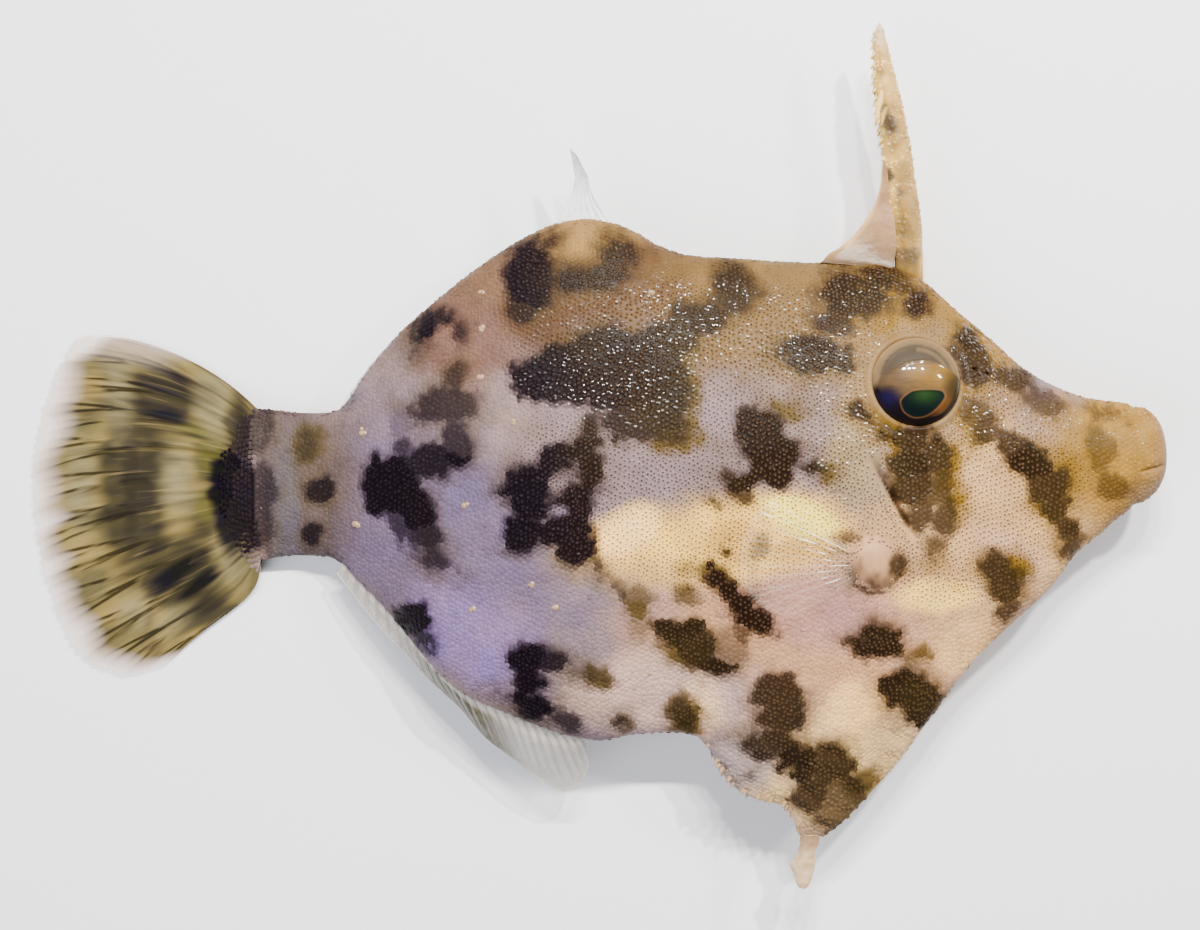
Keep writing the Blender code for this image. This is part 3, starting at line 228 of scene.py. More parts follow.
# Where the film of water is thickest: middle x, y, half sizes, turn.
GLINTS = [
    (8.0, 9.6, 11.0, 3.4, -3), (1.0, 6.0, 5.0, 3.0, 0), (27.2, 7.4, 2.6, 2.0, -35),
    (28.8, 2.6, 3.4, 1.5, -12), (21.0, 13.4, 2.6, 1.1, -5), (22.6, -1.8, 1.7, 4.2, 8),
    (17.9, 4.6, 1.6, 2.6, 20), (38.2, 2.6, 1.6, 1.2, 0), (17.8, 2.0, 3.0, 4.0, 0),
    (14.6, -5.6, 4.6, 3.4, -10), (24.8, -9.0, 1.6, 1.2, 0), (12.5, -20.5, 3.0, 1.0, -30),
    (19.2, 8.6, 1.4, 1.8, 30), (20.8, 2.3, 2.6, 1.0, -25), (26.3, 3.8, 1.6, 1.8, 0),
    (33.0, 3.0, 2.4, 1.0, -15),
]
WET_LEAST, WET_MORE = 0.02, 0.36  # the film's strength away from them, and how much more in them
GLINT_SHARE = 0.32  # the share of scales that catch the light
GLINT_STRONG, GLINT_WEAK = 2.6, 0.03  # the film's strength on those scales, and on the rest
SKIN_WET = 0.08  # and on the skin between the scales
WET_ROUGHNESS = 0.08
FILM_GRAIN, FILM_DEPTH = 2600.0, 0.0005
# Where the dark dots of the pale scales show most.
NETS = [(9.0, -1.0, 15.0, 8.0, 0), (24.0, 0.0, 11.0, 10.0, -20), (8.0, 9.0, 14.0, 4.0, 0)]
# Painted glints: spots where the clear pectoral rays are made opaque and near white, which also lets their
# own gloss show.
PAINTED_FIN_GLINTS = [
    (12.9, -3.3, 1.6, 0.9, -25), (17.4, -5.3, 1.2, 0.7, -30), (16.2, -7.3, 1.4, 0.9, -15),
    (14.9, -3.0, 1.2, 0.6, -20), (15.6, -5.4, 1.4, 0.8, -25),
]
FLOOR_GAP = 0.003

EYE_AT, EYE_RADIUS = (22.5, 5.9), 3.1
EYE_BULGE, LOW_EYE_BULGE, EYE_ROUND = 1.15, 0.3, 0.72
EYEBALL_RADIUS = 3.17
GILL_SLIT = (19.3, 0.4), (22.4, -5.1)
MOUTH_LINE = (39.2, -0.5), (42.2, 0.35)
NOSTRILS = ((26.9, 6.9), (27.9, 6.5))

PECTORAL_ROOT, PECTORAL_LOBE, PECTORAL_RAYS = (19.6, -7.1), 1.9, 11
PECTORAL_REACH = [(0.0, 8.9), (0.15, 9.6), (0.45, 9.9), (0.75, 9.1), (0.9, 8.0), (1.0, 6.9)]
PECTORAL_FROM, PECTORAL_TO = math.radians(147), math.radians(212)

SPINE_PATH = [
    (22.5, 14.8), (22.35, 17.4), (21.9, 20.6), (21.6, 23.0), (21.2, 25.4), (20.8, 27.6), (20.5, 29.8),
    (20.35, 31.2), (20.4, 32.25),
]
SPINE_WIDTH = [
    (0.0, 2.15), (0.2, 2.3), (0.5, 2.25), (0.62, 2.15), (0.73, 1.9), (0.85, 1.4), (0.94, 0.95), (1.0, 0.5),
]
SPINE_FLAT = 0.62
SPINE_SIDES, SPINE_RINGS, SPINE_BEADS = 48, 240, 420
# Rows of barbs: from and to along the spine, how many, hind (-1) or front (1) edge, height where it is fixed.
BARB_ROWS = ((0.45, 0.95, 15, -1, 0.34), (0.47, 0.93, 14, -1, -0.2), (0.2, 0.9, 17, 1, None))
SPINE_BROWN = [
    (21.0, 24.8, 0.5, 0.85, 20, 0.85), (20.7, 25.9, 0.2, 0.6, 10, 0.8), (21.0, 21.1, 0.4, 0.45, 0, 0.9),
    (21.7, 19.7, 0.2, 0.6, 0, 0.7), (22.1, 17.3, 0.6, 0.7, 0, 0.45), (20.4, 28.4, 0.3, 0.5, 0, 0.45),
    (21.7, 14.8, 1.6, 0.9, 22, 0.8),
]
SPINE_GOLD = [(22.6, 17.0, 1.0, 2.6, 0), (21.4, 24.6, 0.7, 1.4, 0), (22.2, 21.0, 0.7, 1.6, 0)]
WEB_EDGE = [
    (16.0, 15.15), (17.3, 15.75), (18.6, 16.9), (19.5, 18.1), (20.15, 19.4), (20.45, 20.6), (20.6, 22.4),
]
WEB_TOP = 0.44
WEB_FOOT_X = 21.2

TAB_TIP_Y, TAB_TOP_Y = -31.0, -26.9
TAB_LEFT = [
    (-31.0, 14.8), (-30.7, 14.35), (-29.9, 14.1), (-29.1, 13.78), (-28.7, 14.1), (-28.2, 14.35),
    (-27.6, 14.5),
]
TAB_RIGHT = [(-31.0, 15.0), (-30.6, 15.3), (-29.9, 15.55), (-29.1, 15.75), (-28.2, 15.8), (-27.6, 16.05)]
TAB_THICK = [(-31.0, 0.4), (-30.4, 0.6), (-29.0, 0.8), (-27.6, 0.95)]

TAIL_RAYS = 12
TAIL_CENTRE = (-20.1, -1.86)
TAIL_REACH = [(0.0, 19.9), (0.06, 22.3), (0.2, 22.6), (0.5, 22.5), (0.8, 22.7), (0.93, 21.2), (1.0, 18.2)]
TAIL_TIP_FROM, TAIL_TIP_TO = 144.4, 226.0
TAIL_ROOT_TOP, TAIL_ROOT_LOW = 4.0, -7.0
TAIL_BOW = math.radians(7.5)
# Dark bars and streaks on the tail fin, as the blotches are given.
TAIL_DARK = [
    (-26.0, -1.4, 1.3, 4.6, 0), (-34.9, -1.6, 0.7, 3.6, 0, 0.5), (-32.8, -4.6, 1.4, 0.3, 12, 0.6),
    (-30.6, -7.4, 1.3, 0.3, 30, 0.7), (-31.3, 6.45, 1.7, 0.3, -23, 0.85),
    (-32.6, 5.75, 2.2, 0.36, -18, 0.92), (-32.6, 3.85, 2.3, 0.42, -17), (-32.6, 2.3, 1.8, 0.22, -5, 0.9),
    (-33.6, -0.2, 0.8, 1.4, 0, 0.4), (-33.9, -2.2, 0.8, 1.7, 0, 0.5), (-32.9, -6.3, 1.3, 0.5, 35, 0.8),
    (-31.4, -5.9, 1.7, 0.35, 18, 0.6), (-31.5, -8.2, 2.0, 0.65, 35), (-30.1, -9.0, 1.8, 0.6, 37),
    (-29.3, -10.3, 1.5, 0.5, 38, 0.75), (-33.6, -11.6, 0.35, 0.9, -20, 0.5),
    (-33.2, -13.6, 0.5, 0.4, 0, 0.45), (-36.6, 4.6, 1.3, 0.18, -12, 0.6), (-38.6, 3.9, 1.2, 0.16, -10, 0.5),
    (-28.0, -1.5, 1.1, 2.2, 0), (-27.3, -2.6, 1.4, 4.2, 0, 0.95), (-27.0, 3.0, 0.9, 1.7, 0, 0.65),
    (-36.4, -2.0, 2.0, 0.14, 2, 0.55), (-35.4, -3.6, 2.2, 0.2, 8, 0.7), (-36.2, 0.8, 2.0, 0.16, -4, 0.5),
]
TAIL_PALE = [
    (-31.6, -1.2, 1.0, 2.1, 0), (-35.9, 5.3, 0.9, 2.4, 5), (-38.9, -1.9, 0.9, 2.6, 0),
    (-34.5, -11.0, 1.1, 1.0, 0), (-27.4, -6.6, 0.9, 1.9, 10), (-28.8, 4.4, 1.2, 2.4, 12),
    (-31.8, -11.4, 1.2, 0.6, 30),
]
TAIL_BROWN = [
    (-29.0, 0.4, 1.0, 1.6, 0), (-29.6, -4.4, 1.4, 0.8, 30), (-28.8, -11.2, 2.6, 0.7, 14),
    (-34.6, -1.6, 2.5, 6.6, 0), (-33.4, 5.0, 2.2, 2.0, -15), (-31.4, -8.4, 2.8, 2.4, 35),
    (-26.3, 0.0, 1.2, 4.5, 0), (-32.2, 4.8, 1.8, 2.0, -15), (-31.6, -7.6, 2.2, 1.4, 35),
]
TAIL_GOLD = [(-28.9, 0.7, 1.2, 1.3, 0), (-29.3, -3.2, 0.8, 1.0, 0), (-29.9, 2.6, 1.2, 0.8, -15)]

DORSAL_ROOT_FROM, DORSAL_ROOT_TO = -3.4, 0.9
DORSAL_NECK, DORSAL_TIP, DORSAL_NECK_SHARE = (-1.35, 21.0), (-1.95, 22.85), 0.6
DORSAL_RAYS = 7
FOLD_FROM, FOLD_TO, FOLD_RAYS = -4.2, -18.2, 20
ANAL_MARGIN = [
    (-19.5, -7.9), (-17.6, -10.4), (-15.8, -12.5), (-14.1, -14.2), (-12.5, -15.9), (-10.3, -17.9),
    (-8.3, -20.2), (-6.2, -21.8), (-4.2, -23.4), (-2.6, -24.1), (-1.5, -23.7), (-0.95, -22.6), (-0.7, -21.4),
]
ANAL_FROM, ANAL_TO, ANAL_RAYS, ANAL_DROOP = -18.9, -0.9, 26, 1.7

CAMERA_HEIGHT = 200.0
LAMPS = [(-16.0, 0.42), (16.0, 0.42), (48.0, 0.46), (110.0, 1.0)]  # x and power of each
LAMP_Y, LAMP_Z, LAMP_SIZE = 150.0, 205.0, (16.0, 9.0)
AIM = [8.0, 0.0, 4.0]
FLOOR_HALF = 2.0  # in metres
PIXEL = 0.0747  # of the reference view, at the floor
VIEW_WIDTH = 1200 * PIXEL
SENSOR_WIDTH = 36.0


def world(points):
    """Points of the outline frame, in millimetres, as Blender's metres."""
    return (np.asarray(points, float) + ORIGIN) * MM


def curve_through(points):
    """A smooth line y(x) through the points, with no overshoot between them, for numbers or arrays."""
    xs, ys = (np.array(values, float) for values in zip(*points))
    steps = np.diff(xs)
    slopes = np.diff(ys) / steps
    tangents = np.zeros(len(xs))
    for i in range(1, len(xs) - 1):
        before, after = slopes[i - 1], slopes[i]
        if before * after > 0:
            first = 2 * steps[i] + steps[i - 1]
            second = steps[i] + 2 * steps[i - 1]
            tangents[i] = (first + second) / (first / before + second / after)
    tangents[0], tangents[-1] = slopes[0], slopes[-1]

    def value(x):
        x = np.clip(x, xs[0], xs[-1])
        i = np.clip(np.searchsorted(xs, x) - 1, 0, len(steps) - 1)
        u = (x - xs[i]) / steps[i]
        rise = ys[i] * (1 + 2 * u) * (1 - u) ** 2 + ys[i + 1] * u * u * (3 - 2 * u)
        lean = steps[i] * (tangents[i] * u * (1 - u) ** 2 + tangents[i + 1] * u * u * (u - 1))
        return rise + lean

    return value


def smooth_step(low, high, value):
    """0 below low, 1 above high, and an even S between them."""
    u = np.clip((value - low) / (high - low), 0.0, 1.0)
    return u * u * (3 - 2 * u)


def bell(distance, width):
    return np.exp(-((distance / width) ** 2))


def normalized(vectors):
    """Vectors made as long as 1."""
    return vectors / np.maximum(np.linalg.norm(vectors, axis=-1, keepdims=True), 1e-9)


def noise(points, size, seed):
    """Smooth noise from -1 to 1 at an array of points, with lumps about size across."""
    side = 32
    table = np.random.default_rng(seed).uniform(-1, 1, (side, side, side))
    spot = np.asarray(points) / size + 7.3
    cell = np.floor(spot).astype(int)
    part = spot - cell
    part = part * part * (3 - 2 * part)
    total = np.zeros(len(spot))
    for corner in np.ndindex(2, 2, 2):
        weight = np.prod(np.where(corner, part, 1 - part), axis=1)
        total += weight * table[tuple(((cell + corner) % side).T)]
    return total


def flat_noise(x, y, size, seed):
    """Noise over a grid of places seen from above."""
    return noise(np.stack([x, y, 0 * x], axis=-1).reshape(-1, 3), size, seed).reshape(x.shape)


raw_back, raw_belly, raw_width = curve_through(BACK), curve_through(BELLY), curve_through(HALF_WIDTH)
widest_y, belly_taper = curve_through(WIDEST_Y), curve_through(BELLY_TAPER)
pectoral_reach, tail_reach = curve_through(PECTORAL_REACH), curve_through(TAIL_REACH)


def snout_share(x):
    u = np.clip((x - SNOUT_X + SNOUT_CAP) / SNOUT_CAP, 0.0, 1.0)
    crease = LIP_CREASE_DEPTH * bell(x - LIP_CREASE_X, 0.45)
    return np.maximum(0.0, 1 - u**SNOUT_ROUND) ** (1 / SNOUT_ROUND) * (1 - crease)


def back_y(x):
    return SNOUT_Y + (raw_back(x) - SNOUT_Y) * snout_share(x)


def belly_y(x):
    return SNOUT_Y + (raw_belly(x) - SNOUT_Y) * snout_share(x)


def level(x):
    droop = smooth_step(0, DROOP_FROM_X - TAIL_END_X, DROOP_FROM_X - x)
    return FLANK_LEVEL + (STALK_LEVEL - FLANK_LEVEL) * droop


def body_point(x, v, side):
    """Points of the smooth body at stations x, from v = -1 at the belly to 1 at the back, on one side."""
    middle = widest_y(x)
    span = np.where(v > 0, back_y(x) - SKIN_INSET - middle, middle - belly_y(x) - SKIN_INSET)
    taper = np.where(v > 0, BACK_TAPER, belly_taper(x))
    edge = np.sqrt(np.maximum(0.0, 1 - np.abs(v) ** EDGE_ROUND))
    thick = (raw_width(x) * snout_share(x) - SKIN_INSET) * edge * (1 - taper * np.abs(v) ** TAPER_POWER)
    z = level(x) + side * np.maximum(thick, 0.0)
    return np.stack([x, middle + v * span, np.maximum(z, LOWEST_SKIN)], axis=-1)


def body_normal(x, v, side, reach=0.12):
    """Outward normals of the smooth body."""
    near = np.clip(v, -0.995, 0.995)
    along = body_point(x + reach, near, side) - body_point(x - reach, near, side)
    across = body_point(x, near + 0.004, side) - body_point(x, near - 0.004, side)
    return normalized(np.cross(along, across) * np.asarray(side)[..., None])


def flank_at(x, y, side):
    """The body's point and normal over a place seen from above."""
    middle = widest_y(x)
    v = (y - middle) / (back_y(x) - middle if y > middle else middle - belly_y(x))
    args = (np.array([x]), np.array([v]), np.array([float(side)]))
    return body_point(*args)[0], body_normal(*args, reach=1.2)[0]


def eye_frame(side):
    """Middle of the eye on the head's surface, and the way that it looks."""
    centre, normal = flank_at(*EYE_AT, side)
    axis = normal + np.array([0.0, 0.0, side])
    return centre, axis / np.linalg.norm(axis)


def from_line(x, y, start, end):
    """Distance from a straight stroke, and the share along it."""
    start, end = np.array(start), np.array(end)
    run = end - start
    share = np.clip(((x - start[0]) * run[0] + (y - start[1]) * run[1]) / (run @ run), 0, 1)
    return np.hypot(x - start[0] - share * run[0], y - start[1] - share * run[1]), share


def eye_polar(points, which):
    """Distance from the line that an eye looks along, and the turn round it as seen from above."""
    centre, axis = eye_frame(which)
    away = points - centre
    distance = np.linalg.norm(away - np.outer(away @ axis, axis), axis=1)
    return distance, np.arctan2(away[:, 1], away[:, 0])


def relief(points, side):
    """How far the skin stands out of the smooth body: folds, pits, lips and the eye's socket."""
    x, y = points[..., 0], points[..., 1]
    rise = np.zeros(len(points))
    for which in (1, -1):
        distance, spin = eye_polar(points, which)
        near = side == which
        rim = 0.2 * bell(distance - EYE_RADIUS - 0.3, 0.3) + 0.1 * bell(distance - EYE_RADIUS - 1.1, 0.22)
        socket = -1.7 * (1 - smooth_step(EYE_RADIUS - 0.25, EYE_RADIUS + 0.1, distance))
        folds = 0.03 * np.sin(46 * spin + 4 * noise(points, 1.1, 12)) * bell(distance - EYE_RADIUS - 0.5, 0.4)
        rise += np.where(near, rim * (1 if which > 0 else 0.3) + socket + folds, 0.0)
    slit, share = from_line(x, y, *GILL_SLIT)
    ends = np.sin(np.pi * np.clip(share, 0.02, 0.98)) ** 0.5
    rise += ends * (-0.75 * bell(slit, 0.17) + 0.16 * bell(slit - 0.5, 0.35) * (x > 20))
    root = np.hypot(x - PECTORAL_ROOT[0], y - PECTORAL_ROOT[1]) / PECTORAL_LOBE
    rise += np.where(side > 0, 0.75 * np.sqrt(np.maximum(0.0, 1 - root**2.5)), 0.0)
    turn = np.arctan2(y - PECTORAL_ROOT[1], x - PECTORAL_ROOT[0])
    ribs = 0.035 * np.sin(22 * turn + 3 * noise(points, 1.4, 11)) * root
    rise += np.where((side > 0) & (root < 1), ribs, 0.0)
    for px, py in NOSTRILS:
        pit = np.hypot(x - px, y - py)
        rise += 0.07 * bell(pit - 0.36, 0.12) - 0.4 * bell(pit, 0.2)
    mouth, _ = from_line(x, y, *MOUTH_LINE)
    rise += -0.13 * bell(mouth, 0.12) + 0.1 * bell(mouth - 0.5, 0.35) * smooth_step(38.8, 39.6, x)
    flap = smooth_step(-18.2, -20.5, y)
    folds = np.sin(3.4 * (0.55 * x + y) + 2.2 * noise(points, 2.6, 5)) * (0.5 + 0.5 * noise(points, 1.7, 6))
    rise += flap * (0.14 * folds + 0.05 * noise(points, 0.7, 7))
    rise += 0.05 * noise(points, 2.4, 8) + 0.09 * noise(points, 5.5, 9)
    stalk = smooth_step(-17.5, -20.0, x)
    rise += stalk * 0.06 * np.sin(2.6 * x + noise(points, 2.0, 10))
    return rise


def skin_point(x, v, side):
    """Points and normals of the finished skin."""
    base = body_point(x, v, side)
    normal = body_normal(x, v, side)
    rise = relief(base, side)
    thin = smooth_step(1.0, 0.97, np.abs(v)) * smooth_step(0.0, 0.8, SNOUT_X - x)
    point = base + normal * (rise * thin)[:, None]
    point[:, 2] = np.maximum(point[:, 2], LOWEST_SKIN)
    press = (side < 0) * pectoral_cover(point[:, 0], point[:, 1])
    point[:, 2] = np.where(press > 0, np.maximum(point[:, 2], 0.98 * press), point[:, 2])
    return point, normal


def pectoral_cover(x, y):
    """1 under the lower pectoral fin, which presses into the flank, falling to 0 round it."""
    out = np.hypot(x - PECTORAL_ROOT[0], y - PECTORAL_ROOT[1])
    turn = np.arctan2(y - PECTORAL_ROOT[1], x - PECTORAL_ROOT[0]) % (2 * np.pi)
    share = (turn - PECTORAL_FROM) / (PECTORAL_TO - PECTORAL_FROM)
    reach = pectoral_reach(np.clip(share, 0, 1))
    aside = np.maximum(np.maximum(-share, share - 1) * (PECTORAL_TO - PECTORAL_FROM) * out, 0)
    edge = np.maximum(np.maximum(out - reach, PECTORAL_LOBE - out), aside)
    return smooth_step(0.9, 0.3, edge)


def ellipse_reach(x, y, cx, cy, rx, ry, turn):
    """Distance from an ellipse's middle, as a share of the way to its edge."""
    c, s = math.cos(math.radians(turn)), math.sin(math.radians(turn))
    dx, dy = x - cx, y - cy
    return np.hypot((c * dx + s * dy) / rx, (c * dy - s * dx) / ry)


def spot_field(x, y, spots):
    """Signed depth in millimetres inside the nearest of a list of ellipses, and that one's weight."""
    depth, weight = np.full(len(x), -9.0), np.zeros(len(x))
    for cx, cy, rx, ry, turn, *own in spots:
        inside = (1 - ellipse_reach(x, y, cx, cy, rx, ry, turn)) * min(rx, ry)
        weight = np.where(inside > depth, own[0] if own else 1.0, weight)
        depth = np.maximum(depth, inside)
    return depth, weight


def spot_share(x, y, spots, low, high, ragged):
    """How far places lie inside ellipses with ragged edges, from 0 to 1, times the spot's weight."""
    depth, weight = spot_field(x, y, spots)
    return smooth_step(low, high, depth + ragged) * weight


def ground_colour(x, y, points):
    """The coat's ground colour in linear light."""
    tint = np.tile(srgb(GROUND)[:3], (len(x), 1))
    wander = 0.22 * noise(points, 3.2, 29) + 0.14 * noise(points, 1.3, 36)
    for zone in ZONES:
        share = smooth_step(1.45, 0.55, ellipse_reach(x, y, *zone[:5]) + wander)
        tint += share[:, None] * (np.array(srgb(zone[5])[:3]) - tint)
    cool = noise(points, 5.0, 37) + 0.6 * noise(points, 1.9, 38)
    return tint * (1 + cool[:, None] * np.array([-0.07, -0.04, 0.1]))


def markings(points, side, v):
    """The coat's markings at points of the skin, each from 0 to 1."""
    stray = np.where(side < 0, 2.4 * (1 - np.abs(v) ** 4), 0.0)
    x = points[:, 0] + stray * noise(points, 7.0, 21)
    y = points[:, 1] + stray * noise(points, 7.0, 22)
    ragged = 0.42 * noise(points, 1.5, 23) + 0.3 * noise(points, 0.62, 24) + 0.16 * noise(points, 0.3, 25)
    depth, weight = spot_field(x, y, BLOTCHES)
    island, _ = spot_field(x, y, ISLANDS)
    depth = np.minimum(depth, -island + 0.1)
    soft = 0.38 + 0.35 * smooth_step(7.0, 13.0, y)
    dark = smooth_step(-soft, soft, depth + ragged) * weight
    stain = spot_share(x, y, STAINS, -0.6, 0.5, 1.1 * ragged)
    patchy = smooth_step(0.05, 0.6, noise(points, 3.4, 26) + 0.4)
    halo = 0.5 * smooth_step(-1.2, -0.1, depth + ragged) * patchy
    olive = np.clip(halo + 0.75 * stain, 0, 1)
    warm = 0.75 * smooth_step(-7.0, 5.0, x + 0.15 * y) + 0.3 * smooth_step(14.0, 24.0, x + 0.3 * y)
    warm = np.clip(warm + 0.1 * noise(points, 1.8, 27), 0, 1)
    net = 0.25 + 0.75 * spot_share(x, y, NETS, -1.5, 1.5, 1.2 * noise(points, 3.0, 28))
    return {"dark": dark, "olive": olive, "warm": warm, "net": net, "ground": ground_colour(x, y, points)}


def outward(points, blocks):
    """The faces, turned round if the closed shape that they make is inside out."""
    volume = 0.0
    for block in blocks:
        for k in range(1, block.shape[1] - 1):
            a, b, c = points[block[:, 0]], points[block[:, k]], points[block[:, k + 1]]
            volume += np.einsum("ij,ij->", a, np.cross(b, c))
    return blocks if volume > 0 else [block[:, ::-1] for block in blocks]


def mesh_piece(name, points, faces, look, floats=None, closed=False):
    """An object from outline points, faces of one or more sizes, and named float attributes."""
    mesh = bpy.data.meshes.new(name)
    blocks = [np.asarray(block) for block in faces if len(block)]
    if closed:
        blocks = outward(points, blocks)
    corners = np.concatenate([block.ravel() for block in blocks])
    sizes = np.concatenate([np.full(len(block), block.shape[1]) for block in blocks])
    mesh.vertices.add(len(points))
    mesh.vertices.foreach_set("co", world(points).astype(np.float32).ravel())
    mesh.loops.add(len(corners))
    mesh.loops.foreach_set("vertex_index", corners.astype(np.int32))
    mesh.polygons.add(len(sizes))
    starts = np.concatenate([[0], np.cumsum(sizes)[:-1]])
    mesh.polygons.foreach_set("loop_start", starts.astype(np.int32))
    mesh.update(calc_edges=True)
    mesh.shade_smooth()
    for key, values in (floats or {}).items():
        if np.ndim(values) == 2:
            layer = mesh.attributes.new(key, "FLOAT_COLOR", "POINT")
            four = np.column_stack([values, np.ones(len(values))])
            layer.data.foreach_set("color", four.astype(np.float32).ravel())
        else:
            layer = mesh.attributes.new(key, "FLOAT", "POINT")
            layer.data.foreach_set("value", np.asarray(values, np.float32))
    mesh.materials.append(look)
    piece = bpy.data.objects.new(name, mesh)
    bpy.context.scene.collection.objects.link(piece)
    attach(piece, "root")
    return piece


class Nodes:
    """A short way to write a material's nodes."""

    def __init__(self, name):
        self.material = bpy.data.materials.new(name)
        self.material.use_nodes = True
        self.tree = self.material.node_tree
        self.shader = self.tree.nodes["Principled BSDF"]

    def link(self, source, target):
        self.tree.links.new(source, target)

    def node(self, kind, **settings):
        made = self.tree.nodes.new("ShaderNode" + kind)
        for key, value in settings.items():
            setattr(made, key, value)
        return made

    def attribute(self, name, output="Fac"):
        return self.node("Attribute", attribute_name=name).outputs[output]

    def flow(self, across, out, detail=2.0):
        """Noise along a fin's rays, with so many lumps across the fin and outwards."""
        place = self.node("CombineXYZ")
        self.link(self.math("MULTIPLY", self.attribute("across"), across), place.inputs[0])
        self.link(self.math("MULTIPLY", self.attribute("out"), out), place.inputs[1])
        return self.noise(1.0, detail, place.outputs[0])

    def noise(self, scale, detail=3.0, place=None):
        """Noise at a place, or else at the object's own points in metres."""
        made = self.node("TexNoise")
        made.inputs["Scale"].default_value = scale
        made.inputs["Detail"].default_value = detail
        self.link(place or self.node("TexCoord").outputs["Object"], made.inputs["Vector"])
        return made.outputs["Fac"]

    def ramp(self, source, stops):
        """A ramp over (place, value) or (place, colour) stops."""
        made = self.node("ValToRGB")
        elements = made.color_ramp.elements
        while len(elements) < len(stops):
            elements.new(0.5)
        for element, (place, value) in zip(elements, stops):
            element.position = place
            element.color = srgb(value) if isinstance(value, tuple) else (value, value, value, 1)
        self.link(source, made.inputs["Fac"])
        return made.outputs["Color"]

    def math(self, operation, a, b):
        made = self.node("Math", operation=operation)
        for socket, value in zip(made.inputs, (a, b)):
            self.feed(value, socket)
        return made.outputs[0]

    def mix(self, share, first, second, blend="MIX"):
        made = self.node("Mix", data_type="RGBA", blend_type=blend)
        self.feed(share, made.inputs[0])
        self.feed(first, made.inputs[6])
        self.feed(second, made.inputs[7])
        return made.outputs[2]

    def uneven(self, colour, scale, dark, light, detail=3.0):
        """A colour made darker and lighter by noise."""
        shade = self.ramp(self.noise(scale, detail), [(0.3, dark), (0.7, light)])
        return self.mix(1.0, colour, shade, "MULTIPLY")

    def paint(self, colour, **covers):
        """A colour covered by others in turn, each as far as the mesh's attribute of that name says."""
        for name, cover in covers.items():
            colour = self.mix(self.attribute(name), colour, cover)
        return colour

    def feed(self, value, socket):
        if isinstance(value, bpy.types.NodeSocket):
            self.link(value, socket)
        elif isinstance(value, tuple):
            socket.default_value = srgb(value)
        else:
            socket.default_value = value

    def bump(self, height, strength, distance, target="Normal", base=None):
        """Bumps the surface, or its coat, from its own normals or from those of base."""
        made = self.node("Bump")
        made.inputs["Strength"].default_value = strength
        made.inputs["Distance"].default_value = distance
        self.link(height, made.inputs["Height"])
        if base:
            self.link(base, made.inputs["Normal"])
        self.link(made.outputs["Normal"], self.shader.inputs[target])

    def set(self, **values):
        for key, value in values.items():
            self.feed(value, self.shader.inputs[key.replace("_", " ")])


def srgb(colour):
    """A colour of 0 to 255 as the eye sees it, as linear light."""
    parts = [c / 255 for c in colour]
    return (*[c / 12.92 if c <= 0.04045 else ((c + 0.055) / 1.055) ** 2.4 for c in parts], 1.0)


OLIVE, OLIVE_REAR = (88, 69, 32), (68, 57, 38)
OLIVE_HEAD, OLIVE_DARK = (116, 86, 26), (44, 35, 16)
DOT_SHADE = (106, 92, 82)
DARK_REAR, DARK_HEAD = (12, 5, 12), (28, 15, 5)
TOP_REAR, TOP_HEAD = (30, 23, 27), (74, 55, 31)


def coat_colour(n):
    """The ground colour of the skin and its scales, uneven, with its olive stains."""
    colour = n.uneven(n.attribute("ground", "Color"), 420.0, 0.84, 1.12)
    stain = n.mix(n.attribute("warm"), OLIVE_REAR, OLIVE)
    stain = n.mix(n.ramp(n.attribute("warm"), [(0.86, 0.0), (0.98, 1.0)]), stain, OLIVE_HEAD)
    return n.paint(colour, olive=stain)


def blotch_colour(n):
    """The dark of a blotch: violet-black to the rear, brown to the front, lighter where it is stained."""
    dark = n.mix(n.attribute("warm"), DARK_REAR, DARK_HEAD)
    stained = n.math("MULTIPLY", n.attribute("olive"), n.math("MULTIPLY", n.attribute("warm"), 0.6))
    return n.mix(stained, dark, OLIVE_DARK)


def wet_film(n):
    """An uneven film of water between the scales, with normals of its own."""
    n.set(Coat_Weight=n.math("MULTIPLY", n.attribute("wet"), SKIN_WET), Coat_Roughness=WET_ROUGHNESS)
    n.bump(n.noise(FILM_GRAIN, 2.0), 1.0, FILM_DEPTH, "Coat Normal", n.attribute("film", "Vector"))


def skin_material():
    """Skin between the scales: as the ground is, and near black in the blotches."""
    n = Nodes("skin")
    colour = n.mix(1.0, coat_colour(n), (240, 236, 232), "MULTIPLY")
    n.set(Base_Color=n.paint(colour, dark=blotch_colour(n)), Roughness=0.42, Specular_IOR_Level=0.1)
    n.bump(n.noise(5200.0, 2.0), 0.25, 0.00002)
    wet_film(n)
    return n.material


def scale_material():
    """One scale: the ground's colour, or black in a blotch, round a brown dot."""
    n = Nodes("scales")
    dark, warm = n.attribute("dark"), n.attribute("warm")
    ground = coat_colour(n)
    around = n.mix(dark, ground, blotch_colour(n))
    pale_dot = n.mix(1.0, ground, n.mix(n.attribute("net"), (255, 255, 255), DOT_SHADE), "MULTIPLY")
    dot = n.mix(dark, pale_dot, n.mix(warm, TOP_REAR, TOP_HEAD))
    n.set(Base_Color=n.mix(n.ramp(n.attribute("tip"), [(0.72, 0.0), (0.94, 1.0)]), around, dot))
    n.set(Roughness=0.5, Specular_IOR_Level=0.06)
    n.set(Coat_Weight=n.attribute("wet"), Coat_Roughness=WET_ROUGHNESS)
    return n.material


def flank_points(x, y, side):
    """The body's points and normals over places seen from above, on one side."""
    middle = widest_y(x)
    v = np.clip((y - middle) / np.where(y > middle, back_y(x) - middle, middle - belly_y(x)), -1, 1)
    sides = np.full(np.shape(x), float(side))
    return body_point(x, v, sides), body_normal(x, v, sides, reach=0.3)


